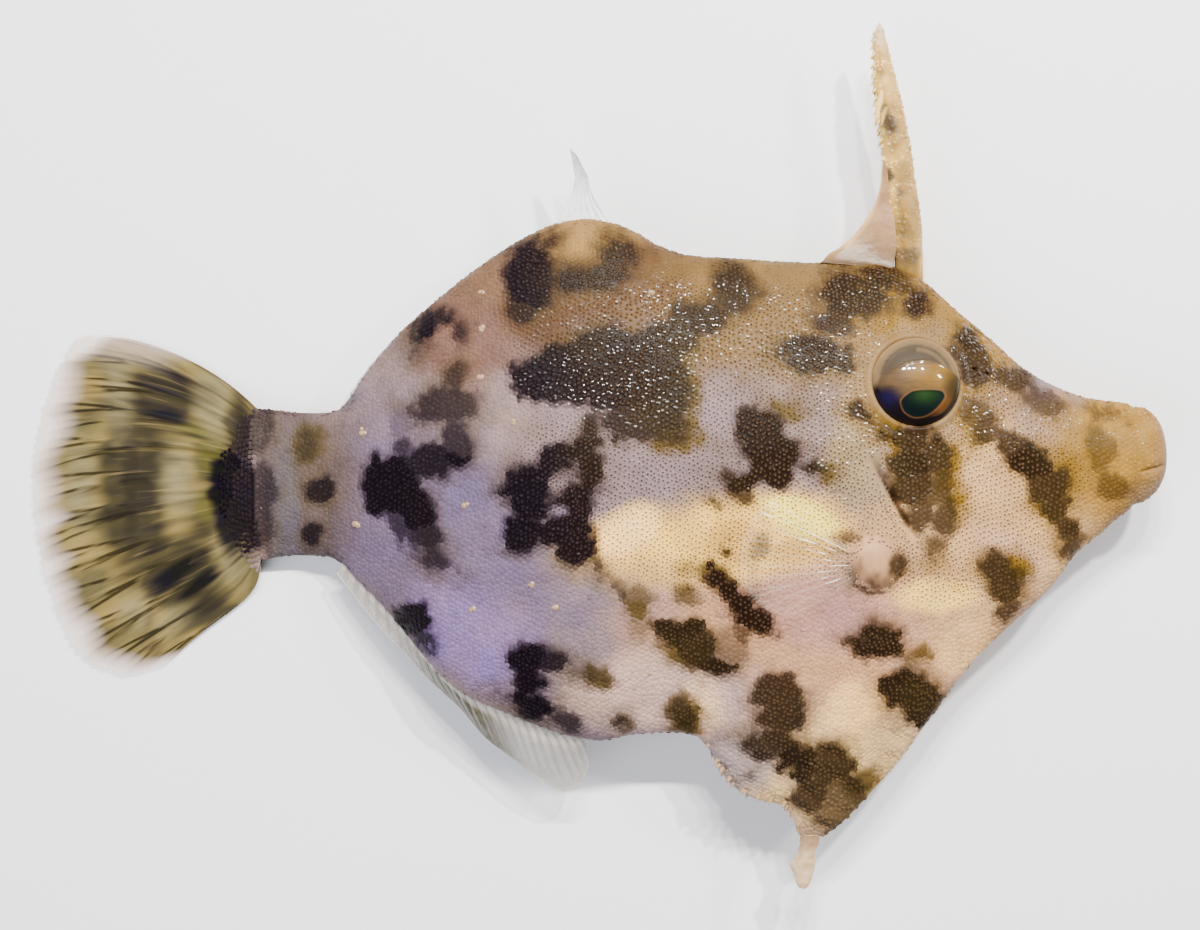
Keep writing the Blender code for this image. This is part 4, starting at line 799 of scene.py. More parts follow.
def forked_rays(across, out, rays, first=0.25, second=0.5, thick=0.13, thin=0.045):
    """Height from 0 to 1 of a fin's rays, each in two branches past first and in four past second."""
    place = across * (rays - 1)
    spread = 0.25 * smooth_step(first, 1.0, out)
    fork = 0.125 * smooth_step(second, 1.0, out)
    width = thick + (thin - thick) * out
    height = np.zeros(np.broadcast(across, out).shape)
    for shift in (-1, 1):
        for twig in (-1, 1):
            away = np.abs((place - shift * spread - twig * fork + 0.5) % 1 - 0.5)
            height = np.maximum(height, bell(away, width))
    return height


def sheet_piece(name, centres, offsets, look, floats):
    """A thin closed sheet over rows of centre points, thickened by the offsets to both faces alike."""
    rows, columns = centres.shape[:2]
    points = np.concatenate([(centres + offsets).reshape(-1, 3), (centres - offsets).reshape(-1, 3)])
    points[:, 2] = np.maximum(points[:, 2], FLOOR_GAP)
    i, j = np.meshgrid(np.arange(rows - 1), np.arange(columns - 1), indexing="ij")
    a = (i * columns + j).ravel()
    top = np.stack([a, a + 1, a + columns + 1, a + columns], axis=1)
    low = top[:, ::-1] + rows * columns
    first_row, last_row = np.arange(columns), (rows - 1) * columns + np.arange(columns)
    left, right = np.arange(rows) * columns, np.arange(rows) * columns + columns - 1
    border = np.concatenate([first_row, right[1:], last_row[-2::-1], left[-2:0:-1]])
    after = np.roll(border, -1)
    wall = np.stack([border, border + rows * columns, after + rows * columns, after], axis=1)
    both = {key: np.tile(np.broadcast_to(value, (rows, columns)).ravel(), 2) for key, value in floats.items()}
    return mesh_piece(name, points, [top, low, wall], look, both, closed=True)


def flow_noise(across, out, bands, seed):
    """Noise that runs along the rays: quick across the fin and slow outwards."""
    flat = np.zeros(np.broadcast(across, out).shape)
    spots = np.stack([across * bands + flat, out * 3.0 + flat, flat], axis=-1)
    return noise(spots.reshape(-1, 3), 1.0, seed).reshape(flat.shape)


def fin_grid(rays, between, rows):
    """Shares across a fin, with so many steps from ray to ray, and shares outwards."""
    return np.linspace(0, 1, (rays - 1) * between + 1)[None], np.linspace(0, 1, rows)[:, None]


def tube_faces(rings, sides):
    """Quads between the rings of a tube, and one face over its first and its last ring."""
    i, j = np.meshgrid(np.arange(rings - 1), np.arange(sides), indexing="ij")
    a = (i * sides + j).ravel()
    b = (i * sides + (j + 1) % sides).ravel()
    k = np.arange(sides)
    return [np.stack([a, b, b + sides, a + sides], axis=1), k[::-1][None], (rings - 1) * sides + k[None]]


def stations():
    """Where along the body the skin has its rings: closest on the head."""
    rear = np.arange(SKIN_END_X, 6.0, 0.2)
    middle = np.arange(6.0, 18.0, 0.15)
    head = np.arange(18.0, SNOUT_X - SNOUT_CAP, 0.12)
    cap = SNOUT_X - SNOUT_CAP * (1 - np.sin(np.linspace(0, math.pi / 2, 26)))
    return np.concatenate([rear, middle, head, cap[:-1]])


def make_skin(look):
    """One closed skin from the tail fin's root to the lips."""
    half = 1 - (1 - np.arange(SKIN_SPANS + 1) / SKIN_SPANS) ** EDGE_CROWD
    down = np.concatenate([half[::-1], -half[1:]])
    v = np.concatenate([down, down[-2:0:-1]])
    side = np.concatenate([np.ones(len(down)), -np.ones(len(down) - 2)])
    xs = stations()
    columns = len(v)
    grid_x = np.repeat(xs, columns)
    grid_v, grid_side = np.tile(v, len(xs)), np.tile(side, len(xs))
    points, _ = skin_point(grid_x, grid_v, grid_side)
    tail = np.array([[SKIN_END_X, (back_y(TAIL_END_X) + belly_y(TAIL_END_X)) / 2, STALK_LEVEL]])
    snout = np.array([[SNOUT_X - SKIN_INSET, SNOUT_Y, FLANK_LEVEL]])
    everything = np.concatenate([points, tail, snout])
    quads = tube_faces(len(xs), columns)[0]
    k = np.arange(columns)
    last = (len(xs) - 1) * columns
    tail_fan = np.stack([(k + 1) % columns, k, np.full(columns, len(points))], axis=1)
    snout_fan = np.stack([last + k, last + (k + 1) % columns, np.full(columns, len(points) + 1)], axis=1)
    all_v = np.concatenate([grid_v, [0.0, 0.0]])
    all_side = np.concatenate([grid_side, [1.0, 1.0]])
    floats = markings(everything, all_side, all_v)
    floats["wet"] = wetness(everything)
    floats["film"] = film_normal(everything[:, 0], all_v, all_side)
    return mesh_piece("skin", everything, [quads, np.concatenate([tail_fan, snout_fan])], look, floats)


def dome_unit():
    """One scale's plan, lift, tip share and triangles: a low six-sided bead."""
    turns = np.arange(BEAD_SIDES) * math.pi / 3
    ring = np.stack([np.cos(turns), np.sin(turns)], axis=1)
    plan = np.concatenate([[[0.0, 0.0]], ring * 0.55, ring])
    lift = np.repeat([1.0, 0.75, -0.12], [1, BEAD_SIDES, BEAD_SIDES])
    tip = np.repeat([1.0, 0.75, 0.0], [1, BEAD_SIDES, BEAD_SIDES])
    k = 1 + np.arange(BEAD_SIDES)
    nxt = 1 + k % BEAD_SIDES
    fan = np.stack([0 * k, k, nxt], axis=1)
    inner = np.stack([k, k + BEAD_SIDES, nxt + BEAD_SIDES], axis=1)
    outer = np.stack([k, nxt + BEAD_SIDES, nxt], axis=1)
    return plan, lift, tip, np.concatenate([fan, inner, outer])


def domes(roots, normals, radius, height, flip):
    """Points and triangles of one bead on each root, each leaning a little its own way."""
    plan, lift, _, unit = dome_unit()
    rng = np.random.default_rng(len(roots))
    normals = normalized(normals + rng.normal(0, SCALE_LEAN, normals.shape))
    askew = np.cross(normals, [1.0, 0.0, 0.0]) + rng.normal(0, 0.6, normals.shape)
    along = normalized(np.cross(askew, normals))
    across = np.cross(normals, along)
    stretch = rng.uniform(0.88, 1.16, (len(roots), 1))
    spread = plan[None] * radius[:, None, None] * np.stack([stretch, 1 / stretch], axis=-1)
    points = roots[:, None] + spread[..., :1] * along[:, None] + spread[..., 1:] * across[:, None]
    points = points + (lift * height)[None, :, None] * normals[:, None]
    points[..., 2] = np.maximum(points[..., 2], FLOOR_GAP)
    faces = (unit[None] + BEAD_POINTS * np.arange(len(roots))[:, None, None]).reshape(-1, 3)
    return points.reshape(-1, 3), faces[:, ::-1] if flip else faces


def film_normal(x, v, side):
    """Outward normals of the finished skin, with its folds, for the film of water on it."""
    near = np.clip(v, -0.99, 0.99)
    x = np.minimum(x, SNOUT_X - 0.2)
    along = skin_point(x + 0.09, near, side)[0] - skin_point(x - 0.09, near, side)[0]
    across = skin_point(x, near + 0.006, side)[0] - skin_point(x, near - 0.006, side)[0]
    return normalized(np.cross(along, across) * side[:, None])


def scale_rows(side):
    """Roots of one side's scales, in rows along the body: x, v, and the way round from the flank's middle."""
    half = 1 - (1 - np.linspace(0, 1, 160)) ** EDGE_CROWD
    table_v = np.concatenate([-half[:0:-1], half])
    rng = np.random.default_rng(31 if side > 0 else 32)
    xs, vs, rounds = [], [], []
    row_gap = SCALE_PITCH * math.sqrt(3) / 2
    for row, x in enumerate(np.arange(SKIN_END_X + 0.1, SNOUT_X - 0.25, row_gap)):
        ring = body_point(np.full(len(table_v), x), table_v, side)
        run = np.concatenate([[0], np.cumsum(np.linalg.norm(np.diff(ring, axis=0), axis=1))])
        zero = np.interp(0.0, table_v, run)
        first = math.ceil((0.12 - zero) / SCALE_PITCH)
        last = math.floor((run[-1] - 0.12 - zero) / SCALE_PITCH)
        steps = (np.arange(first, last + 1) + 0.5 * (row % 2)) * SCALE_PITCH
        there = np.stack([np.full(len(steps), x), steps, np.full(len(steps), 5.0 * side)], axis=1)
        steps = steps + 0.22 * noise(there, 1.9, 41) + rng.normal(0, SCALE_STRAY, len(steps))
        steps = np.clip(steps, 0.1 - zero, run[-1] - 0.1 - zero)
        stray = 0.22 * noise(there, 1.9, 42) + rng.normal(0, SCALE_STRAY, len(steps))
        xs.append(np.clip(x + stray, SKIN_END_X + 0.05, SNOUT_X - 0.2))
        vs.append(np.interp(steps + zero, run, table_v))
        rounds.append(steps)
    return np.concatenate(xs), np.concatenate(vs), np.concatenate(rounds)


def scale_size(points, side):
    """Size of each scale as a share of the usual: none in the socket, slits and lips, small on the snout."""
    x, y = points[:, 0], points[:, 1]
    size = np.ones(len(points))
    for which in (1, -1):
        distance, _ = eye_polar(points, which)
        size = np.where((side == which) & (distance < EYE_RADIUS + 0.5), 0.0, size)
        near = smooth_step(EYE_RADIUS + 2.0, EYE_RADIUS + 0.5, distance) * (side == which)
        size = size * (1 - 0.15 * near)
    slit, _ = from_line(x, y, *GILL_SLIT)
    mouth, _ = from_line(x, y, *MOUTH_LINE)
    size = np.where((slit < 0.36) | (mouth < 0.17) | (x > SNOUT_X - 0.5), 0.0, size)
    lobe = np.hypot(x - PECTORAL_ROOT[0], y - PECTORAL_ROOT[1]) + 0.3 * noise(points, 0.8, 44)
    size = np.where((lobe < 1.45) & (side > 0), 0.0, size)
    return size * (1 - 0.2 * smooth_step(33.0, 40.0, x))


def wetness(points):
    """How thick the film of water is, as a share."""
    place = spot_share(points[:, 0], points[:, 1], GLINTS, -1.2, 0.9, 0.9 * noise(points, 1.6, 43))
    return WET_LEAST + WET_MORE * place


def make_scales(look):
    """The coat: one low bead for each scale, in joined pieces of the front and rear of either side."""
    plan, _, tip, unit = dome_unit()
    for side, side_name in ((1, "right"), (-1, "left")):
        x, v, rounds = scale_rows(side)
        sides = np.full(len(x), float(side))
        roots, normals = skin_point(x, v, sides)
        size = scale_size(roots, sides)
        size = size * np.random.default_rng(33).uniform(0.92, 1.06, len(size))
        floats = markings(roots, sides, v)
        lit = np.random.default_rng(35).random(len(x)) < GLINT_SHARE
        floats["wet"] = wetness(roots) * np.where(lit, GLINT_STRONG, GLINT_WEAK)
        for part, keep in (("rear", x < SCALE_SPLIT_X), ("front", x >= SCALE_SPLIT_X)):
            keep = keep & (size > 0)
            radius = size[keep] * SCALE_RADIUS
            points, faces = domes(roots[keep], normals[keep], radius, SCALE_HEIGHT, side < 0)
            own = {key: np.repeat(values[keep], BEAD_POINTS, axis=0) for key, values in floats.items()}
            own["tip"] = np.tile(tip, keep.sum())
            piece = mesh_piece(f"scales_{side_name}_{part}", points, [faces], look, own)
            add_bake_map(piece, x[keep], rounds[keep], side, plan, unit)


def make_papillae(look):
    """The warts: small ragged cones that stand out of the right flank."""
    rng = np.random.default_rng(35)
    spots = np.repeat(np.array(PAPILLAE), 3, axis=0) + rng.normal(0, 0.09, (3 * len(PAPILLAE), 2))
    roots, normals = flank_points(spots[:, 0], spots[:, 1], 1)
    lengths, radii = rng.uniform(0.1, 0.18, len(spots)), rng.uniform(0.16, 0.28, len(spots))
    points, faces = cones(roots, normals + rng.normal(0, 0.25, normals.shape), lengths, radii)
    floats = {"brown": np.full(len(points), 0.6), "tip": 0.6 * on_cones([0.4, 0.7, 1.0, 1.0], len(spots))}
    piece = mesh_piece("papillae", points, [faces], look, floats, closed=True)


def add_bake_map(piece, x, rounds, side, plan, unit):
    """The coat's OFBake map: a patch for each scale at its root's place on an unwrap of either flank."""
    u = 0.02 + 0.96 * (x - UNWRAP_FROM_X) / (SNOUT_X - UNWRAP_FROM_X)
    w = (BAKE_RIGHT if side > 0 else BAKE_LEFT) + rounds / BAKE_ROUND * BAKE_HALF
    patch = np.stack([u, w], axis=1)[:, None] + BAKE_PATCH * plan[None]
    corners = patch[:, (unit if side > 0 else unit[:, ::-1]).ravel()]
    layer = piece.data.uv_layers.new(name="OFBake")
    layer.data.foreach_set("uv", corners.reshape(-1).astype(np.float32))


def tail_sheet(across, out):
    """Centres, half thickness and ray height of the tail fin; across from its top to its low edge."""
    root_x = TAIL_END_X - 0.3
    root_y = TAIL_ROOT_TOP + (TAIL_ROOT_LOW - TAIL_ROOT_TOP) * across
    start_x, start_y = root_x - TAIL_CENTRE[0], root_y - TAIL_CENTRE[1]
    start = np.hypot(start_x, start_y)
    from_angle = np.arctan2(start_y, start_x) % (2 * np.pi)
    to_angle = np.radians(TAIL_TIP_FROM + (TAIL_TIP_TO - TAIL_TIP_FROM) * across)
    bow = TAIL_BOW * across**4 * 5 * out * np.exp(1 - 5 * out)
    angle = from_angle + (to_angle - from_angle) * out**1.3 + bow
    ridge = forked_rays(across, out, TAIL_RAYS)
    fray = 0.012 * (1 + flow_noise(across, 0.0, 40.0, 51))
    notch = 0.012 * (1 - forked_rays(across, 1.0, TAIL_RAYS)) + fray
    radius = start + (tail_reach(across) - start) * out * (1 - notch * out)
    sink = smooth_step(0, 0.3, out)
    edge = np.maximum(0.25, 1 - np.abs(2 * across - 1) ** 8)
    root_half = 0.95 * edge**0.5 * (1 - 0.35 * np.abs(2 * across - 1) ** 1.5)
    flat_half = 0.07 * (1 - 0.4 * out) + 0.08 * ridge * (1 - 0.55 * out)
    half = root_half + (flat_half - root_half) * smooth_step(0, 0.22, out)
    x = TAIL_CENTRE[0] + radius * np.cos(angle)
    y = TAIL_CENTRE[1] + radius * np.sin(angle)
    z = STALK_LEVEL + (0.3 + 0.09 * flat_noise(x, y, 4.5, 52) - STALK_LEVEL) * sink
    return np.stack([x, y, z], axis=-1), half, ridge


def make_tail(look, scale_look):
    """The spread tail fin, and the small scales over its root."""
    across, out = fin_grid(TAIL_RAYS, 24, 110)
    centres, half, ridge = tail_sheet(across, out + 0 * across)
    x, y = centres[..., 0].ravel(), centres[..., 1].ravel()
    ragged = 0.5 * flow_noise(across, out, 60.0, 53) + 0.35 * flow_noise(across, out * 3, 24.0, 54)
    margin = smooth_step(0.84, 1.0, out + 0.05 * flow_noise(across, out, 30.0, 56))
    corner = smooth_step(0.14, 0.02, across) * smooth_step(0.45, 0.7, out)
    floats = {
        "ray": ridge, "clear": np.clip(margin + 0.4 * corner, 0, 1) * smooth_step(0.3, 0.5, out),
        "across": across, "out": out,
    }
    for key, spots, most, low, high, stray in (
        ("dark", TAIL_DARK, 1.0, -0.5, 0.35, 0.6), ("pale", TAIL_PALE, 0.85, -1.0, 0.9, 0.7),
        ("brown", TAIL_BROWN, 0.92, -0.9, 0.5, 0.9), ("gold", TAIL_GOLD, 0.6, -0.6, 0.5, 0.5),
    ):
        share = spot_share(x, y, spots, low, high, stray * ragged.ravel())
        floats[key] = most * share.reshape(half.shape)
    piece = sheet_piece("tail_fin_fine", centres, half[..., None] * UP, look, floats)
    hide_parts("tail_fin")
    make_tail_scales(scale_look)


def make_tail_scales(look):
    """Scales that run out over the tail fin's root, on both faces."""
    rows, columns = 11, 34
    out = np.repeat(0.004 + 0.0165 * np.arange(rows), columns)
    shift = 0.5 * (np.arange(rows).repeat(columns) % 2)
    across = (np.tile(np.arange(columns), rows) + shift + 0.25) / columns
    rng = np.random.default_rng(57)
    across = np.clip(across + rng.normal(0, 0.003, len(across)), 0.02, 0.98)
    centre, half, _ = tail_sheet(across, out)
    reach = -28.5 + 2.9 * np.abs((centre[:, 1] + 1.8) / 6.0) ** 1.8 + 0.35 * noise(centre, 0.9, 58)
    keep = centre[:, 0] > reach
    centre, half = centre[keep], half[keep]
    plan, _, tip, unit = dome_unit()
    for side, name in ((1, "right"), (-1, "left")):
        roots = centre + np.array([0.0, 0.0, side]) * half[:, None]
        normals = np.tile([-0.12, 0.0, float(side)], (len(roots), 1))
        normals[:, 1] = 0.05 * (roots[:, 1] + 1.5)
        sizes = np.full(len(roots), SCALE_RADIUS * 0.95)
        points, faces = domes(roots, normalized(normals), sizes, SCALE_HEIGHT, side < 0)
        floats = markings(roots, np.full(len(roots), float(side)), np.full(len(roots), 0.5))
        floats["wet"] = 0.15 * wetness(roots)
        floats = {key: np.repeat(values, BEAD_POINTS, axis=0) for key, values in floats.items()}
        floats["tip"] = np.tile(0.8 * tip, len(roots))
        piece = mesh_piece(f"scales_{name}_tail", points, [faces], look, floats)
        add_bake_map(piece, roots[:, 0], roots[:, 1] + 1.4, side, plan, unit)


def make_pectoral(side, look):
    """A clear fan laid back along the flank; the lower one lies flat on the floor."""
    across, out = fin_grid(PECTORAL_RAYS, 14, 50)
    ridge = forked_rays(across, out, PECTORAL_RAYS, 0.5, 0.9, 0.12, 0.07)
    angle = PECTORAL_FROM + (PECTORAL_TO - PECTORAL_FROM) * across
    notch = 0.03 * (1 - forked_rays(across, 1.0, PECTORAL_RAYS, 0.5, 0.9)) + 0.01
    foot = PECTORAL_LOBE - 0.5
    reach = foot + (pectoral_reach(across) - foot) * out * (1 - notch * out)
    x = PECTORAL_ROOT[0] + reach * np.cos(angle)
    y = PECTORAL_ROOT[1] + reach * np.sin(angle)
    half = (0.035 + 0.09 * ridge) * (1 - 0.6 * out)
    if side > 0:
        points, normals = flank_points(x.ravel(), y.ravel(), 1)
        lift = (0.3 + 0.4 * smooth_step(0.0, 0.25, out) + 0.05 * flow_noise(across, out, 12.0, 61)).ravel()
        centres = (points + normals * lift[:, None]).reshape(*x.shape, 3)
        offsets = normals.reshape(*x.shape, 3) * half[..., None]
    else:
        centres = np.stack([x, y, 0.3 + 0 * x], axis=-1)
        offsets = half[..., None] * UP
    name = "right" if side > 0 else "left"
    # Painted glints: inside these spots the rays are made opaque, so their near-white colour shows.
    painted_glint = spot_share(x.ravel(), y.ravel(), PAINTED_FIN_GLINTS, -0.3, 0.1, 0.0).reshape(x.shape)
    painted_glint = painted_glint * smooth_step(-0.1, 0.25, flow_noise(across, out * 5, 50.0, 62))
    floats = {"ray": ridge, "clear": 0.985 - 0.035 * ridge - 0.75 * painted_glint * ridge**4}
    piece = sheet_piece(f"pectoral_fan_{name}", centres, offsets, look, floats)
    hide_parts(f"pectoral_fin_{name}")


def make_soft_dorsal(look):
    """The raised front of the soft dorsal fin: white pleats gathered to one tip on the hump."""
    across, out = fin_grid(DORSAL_RAYS, 12, 60)
    root_x = DORSAL_ROOT_FROM + (DORSAL_ROOT_TO - DORSAL_ROOT_FROM) * across
    root_y = back_y(root_x) - 0.25
    climb = np.minimum(1.0, out / DORSAL_NECK_SHARE)
    neck_x, neck_y = DORSAL_NECK[0] + 0.95 * (across - 0.5), DORSAL_NECK[1]
    tip_x, tip_y = DORSAL_TIP[0] + 0.5 * (across - 0.5), DORSAL_TIP[1] - 0.5 * (across - 0.5)
    x = root_x + (neck_x - root_x) * (1 - (1 - climb) ** 1.6)
    y = root_y + (neck_y - root_y) * climb
    past = np.clip((out - DORSAL_NECK_SHARE) / (1 - DORSAL_NECK_SHARE), 0, 1)
    x, y = x + (tip_x - neck_x) * past, y + (tip_y - neck_y) * past
    ridge = forked_rays(across, out, DORSAL_RAYS, 2.0, 2.0, 0.2, 0.2)
    pleat = 0.12 * np.cos(2 * np.pi * across * (DORSAL_RAYS - 1)) * smooth_step(0.0, 0.3, out)
    centres = np.stack([x, y, FLANK_LEVEL + pleat], axis=-1)
    half = 0.05 + 0.1 * ridge * (1 - 0.4 * out)
    floats = {"ray": ridge, "clear": 0.55 - 0.45 * ridge}
    piece = sheet_piece("soft_dorsal_pleats", centres, half[..., None] * UP, look, floats)
    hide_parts("soft_dorsal_fin_front")


def make_folded_dorsal(look):
    """The rest of the soft dorsal fin, folded down on the side that the fish lies on."""
    across, out = fin_grid(FOLD_RAYS, 10, 40)
    x = FOLD_FROM + (FOLD_TO - FOLD_FROM) * across - (1.5 - 0.7 * across) * out
    y = back_y(x) - 0.4 - (4.2 - 2.2 * across) * out * 0.8
    points, normals = flank_points(x.ravel(), y.ravel(), -1)
    ridge = forked_rays(across, out, FOLD_RAYS, 0.6, 2.0, 0.14, 0.1)
    half = 0.05 + 0.1 * ridge * (1 - 0.5 * out)
    centres = (points + normals * 0.55).reshape(*x.shape, 3)
    centres[..., 2] = np.maximum(centres[..., 2], 0.2)
    offsets = normals.reshape(*x.shape, 3) * half[..., None]
    floats = {"ray": ridge, "clear": 0.6 - 0.3 * ridge}
    piece = sheet_piece("soft_dorsal_folded_fine", centres, offsets, look, floats)
    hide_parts("soft_dorsal_fin_folded")


def make_anal_fin(look):
    """The anal fin, half folded along the belly's hind edge, with its front lobe limp."""
    across, out = fin_grid(ANAL_RAYS, 10, 60)
    root_x = ANAL_FROM + (ANAL_TO - ANAL_FROM) * across
    root_y = belly_y(root_x) + 0.15
    tip = path_through(ANAL_MARGIN)(across[0] + 0.1 * np.sin(math.pi * across[0]))
    tip_x, tip_y = tip[None, :, 0], tip[None, :, 1]
    short = np.hypot(tip_x - root_x, tip_y - root_y + 0.5) < 0.6
    tip_x, tip_y = np.where(short, root_x - 0.45, tip_x), np.where(short, root_y - 0.9, tip_y)
    ridge = forked_rays(across, out, ANAL_RAYS, 0.5, 2.0, 0.16, 0.1)
    share = out * (0.985 - 0.03 * (1 - ridge) * out)
    x, y = root_x + (tip_x - root_x) * share, root_y + (tip_y - root_y) * share
    droop = ANAL_DROOP * smooth_step(0, 0.625, across) * share**1.3
    wave = 0.12 * flow_noise(across, out, 9.0, 65) * out
    centres = np.stack([x, y, level(root_x) - droop + wave], axis=-1)
    half = 0.05 + 0.12 * ridge * (1 - 0.5 * out) + 0.12 * bell(out, 0.12)
    # A paler, less clear band near the root: painted highlight.
    painted_root_glint = bell(out - 0.2, 0.14)
    edge = smooth_step(0.9, 1.0, out)
    clear = 0.6 + 0.16 * smooth_step(0.5, 0.75, across)
    clear = np.clip(clear - 0.12 * ridge - 0.3 * painted_root_glint - 0.2 * edge, 0.1, 0.9)
    murk = smooth_step(0.2, 0.4, across) * smooth_step(0.72, 0.5, across) * smooth_step(0.1, 0.3, out)
    ray = np.clip(0.6 * ridge + 0.4 * painted_root_glint + 0.7 * edge, 0, 1)
    floats = {"ray": ray, "clear": clear - 0.3 * murk, "murk": murk}
    piece = sheet_piece("anal_fin_fine", centres, half[..., None] * UP, look, floats)
    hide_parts("anal_fin")


def path_through(points):
    """A smooth path through points in the plane, as a function of an array of 0 to 1 along its length."""
    points = np.array(points, float)
    runs = np.concatenate([[0.0], np.cumsum(np.linalg.norm(np.diff(points, axis=0), axis=1))])
    parts = [curve_through(list(zip(runs, points[:, k]))) for k in range(points.shape[1])]
    return lambda share: np.stack([part(share * runs[-1]) for part in parts], axis=-1)


def spine_frame(share):
    """Centres on the spine's axis, and unit directions along it and forwards of it."""
    path = path_through(SPINE_PATH)
    here = path(share)
    run = normalized(path(np.minimum(1.0, share + 0.02)) - path(np.maximum(0.0, share - 0.02)))
    flat = np.zeros(len(here))
    centre = np.stack([here[:, 0], here[:, 1], flat + FLANK_LEVEL], axis=1)
    forward = np.stack([run[:, 1], -run[:, 0], flat], axis=1)
    return centre, np.stack([run[:, 0], run[:, 1], flat], axis=1), forward


def cones(roots, ways, lengths, radii):
    """Slender pointed thorns from roots."""
    points, faces = [], []
    k = np.arange(CONE_SIDES)
    nxt = (k + 1) % CONE_SIDES
    for root, way, length, radius in zip(roots, ways, lengths, radii):
        way = way / np.linalg.norm(way)
        aside = np.cross(way, [0.31, 0.17, 0.93])
        aside /= np.linalg.norm(aside)
        other = np.cross(way, aside)
        first = len(points)
        for share, width in CONE_RINGS:
            for turn in 2 * math.pi * k / CONE_SIDES:
                out = aside * math.cos(turn) + other * math.sin(turn)
                points.append(root + way * length * share + radius * width * out)
        points.append(root + way * length)
        for ring in range(2):
            a, b = first + ring * CONE_SIDES + k, first + ring * CONE_SIDES + nxt
            belt = np.stack([a, b, b + CONE_SIDES, a, b + CONE_SIDES, a + CONE_SIDES], axis=1)
            faces.append(belt.reshape(-1, 3))
        last = first + 2 * CONE_SIDES
        faces.append(np.stack([last + k, last + nxt, np.full(CONE_SIDES, last + CONE_SIDES)], axis=1))
    return np.array(points), np.concatenate(faces)


def on_cones(values, count):
    """Values for the three rings and the tip of each of so many thorns."""
    return np.tile(np.repeat(values, [CONE_SIDES] * 3 + [1]), count)


def spine_barbs(rng, width):
    """Roots, ways, lengths and radii of the spine's barbs: its rows, and two long ones behind its tip."""
    roots, ways, lengths, radii = [], [], [], []
    for low, high, count, edge, fixed in BARB_ROWS:
        spots = np.linspace(low, high, count) + rng.normal(0, 0.008, count)
        middle, run, front = spine_frame(spots)
        height = rng.uniform(-0.15, 0.3, count) if fixed is None else np.full(count, fixed)
        side_on = edge * np.sqrt(1 - height**2) * 0.97
        out = front * side_on[:, None] + UP * (SPINE_FLAT * height)[:, None]
        roots.append(middle + out * (width(spots) / 2 - 0.08)[:, None])
        lean, share, radius = (-0.9, 1.0, 0.15) if edge < 0 else (0.7, 0.55, 0.12)
        ways.append(front * edge + run * lean + UP * (height * 0.7)[:, None])
        lengths.append(rng.uniform(0.3, 0.5, count) * share)
        radii.append(np.full(count, radius))
    roots.append(np.array([[20.4, 26.5, FLANK_LEVEL + 0.25], [20.7, 25.6, FLANK_LEVEL + 0.45]]))
    ways.append(np.array([[-0.2, -1.0, 0.0], [-0.25, -1.0, 0.05]]))
    lengths.append(np.array([2.1, 1.3]))
    radii.append(np.array([0.3, 0.24]))
    return [np.concatenate(part) for part in (roots, ways, lengths, radii)]


def spine_grains(rng, width):
    """Points and triangles of the grains all over the spine."""
    spots, around = rng.uniform(0.02, 0.97, SPINE_BEADS), rng.uniform(0, 2 * np.pi, SPINE_BEADS)
    middle, _, front = spine_frame(spots)
    out = front * np.cos(around)[:, None] + UP * (SPINE_FLAT * np.sin(around))[:, None]
    roots = middle + out * (width(spots) / 2 - 0.07)[:, None]
    normals = normalized(front * np.cos(around)[:, None] * SPINE_FLAT + UP * np.sin(around)[:, None])
    return domes(roots, normals, rng.uniform(0.08, 0.2, SPINE_BEADS), 0.05, False)


def make_spine(look):
    """The first dorsal spine: a granular, slightly flat horn with barbs down both edges."""
    share = np.linspace(0, 1, SPINE_RINGS)
    width = curve_through(SPINE_WIDTH)
    centre, _, forward = spine_frame(share)
    turn = 2 * np.pi * np.arange(SPINE_SIDES) / SPINE_SIDES
    half = (width(share) / 2 - 0.06) * np.sqrt(np.clip(1 - smooth_step(0.97, 1.001, share), 0.0004, 1))
    ring = forward[:, None] * np.cos(turn)[None, :, None] + UP * (SPINE_FLAT * np.sin(turn))[None, :, None]
    points = centre[:, None] + ring * half[:, None, None]
    grit = noise((points * [1, 0.6, 1]).reshape(-1, 3), 0.34, 71)
    grit = grit + 0.7 * noise(points.reshape(-1, 3), 0.8, 72)
    groove = -0.07 * bell(np.cos(turn) + 0.45, 0.2)[None] * (share < 0.9)[:, None]
    bumps = 0.05 * grit.reshape(points.shape[:2]) + groove
    points = points + ring * bumps[..., None]
    points[0, :, 1] = back_y(points[0, :, 0]) - 0.6
    body = points.reshape(-1, 3)
    rng = np.random.default_rng(73)
    thorns, thorn_faces = cones(*spine_barbs(rng, width))
    grains, grain_faces = spine_grains(rng, width)
    every = np.concatenate([body, thorns, grains])
    shift, later = len(body), len(body) + len(thorns)
    x, y = every[:, 0], every[:, 1]
    floats = {
        "brown": spot_share(x, y, SPINE_BROWN, -0.15, 0.2, 0.18 * noise(every, 0.5, 74)),
        "gold": spot_share(x, y, SPINE_GOLD, -0.6, 0.5, 0.3 * noise(every, 0.8, 75)),
        "white": smooth_step(29.5, 32.0, y),
        "tip": np.concatenate([np.zeros(shift), np.ones(len(thorns)), np.tile(dome_unit()[2], SPINE_BEADS)]),
    }
    faces = [*tube_faces(SPINE_RINGS, SPINE_SIDES), thorn_faces + shift, grain_faces + later]
    piece = mesh_piece("dorsal_spine_fine", every, faces, look, floats)
    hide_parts("dorsal_spine")


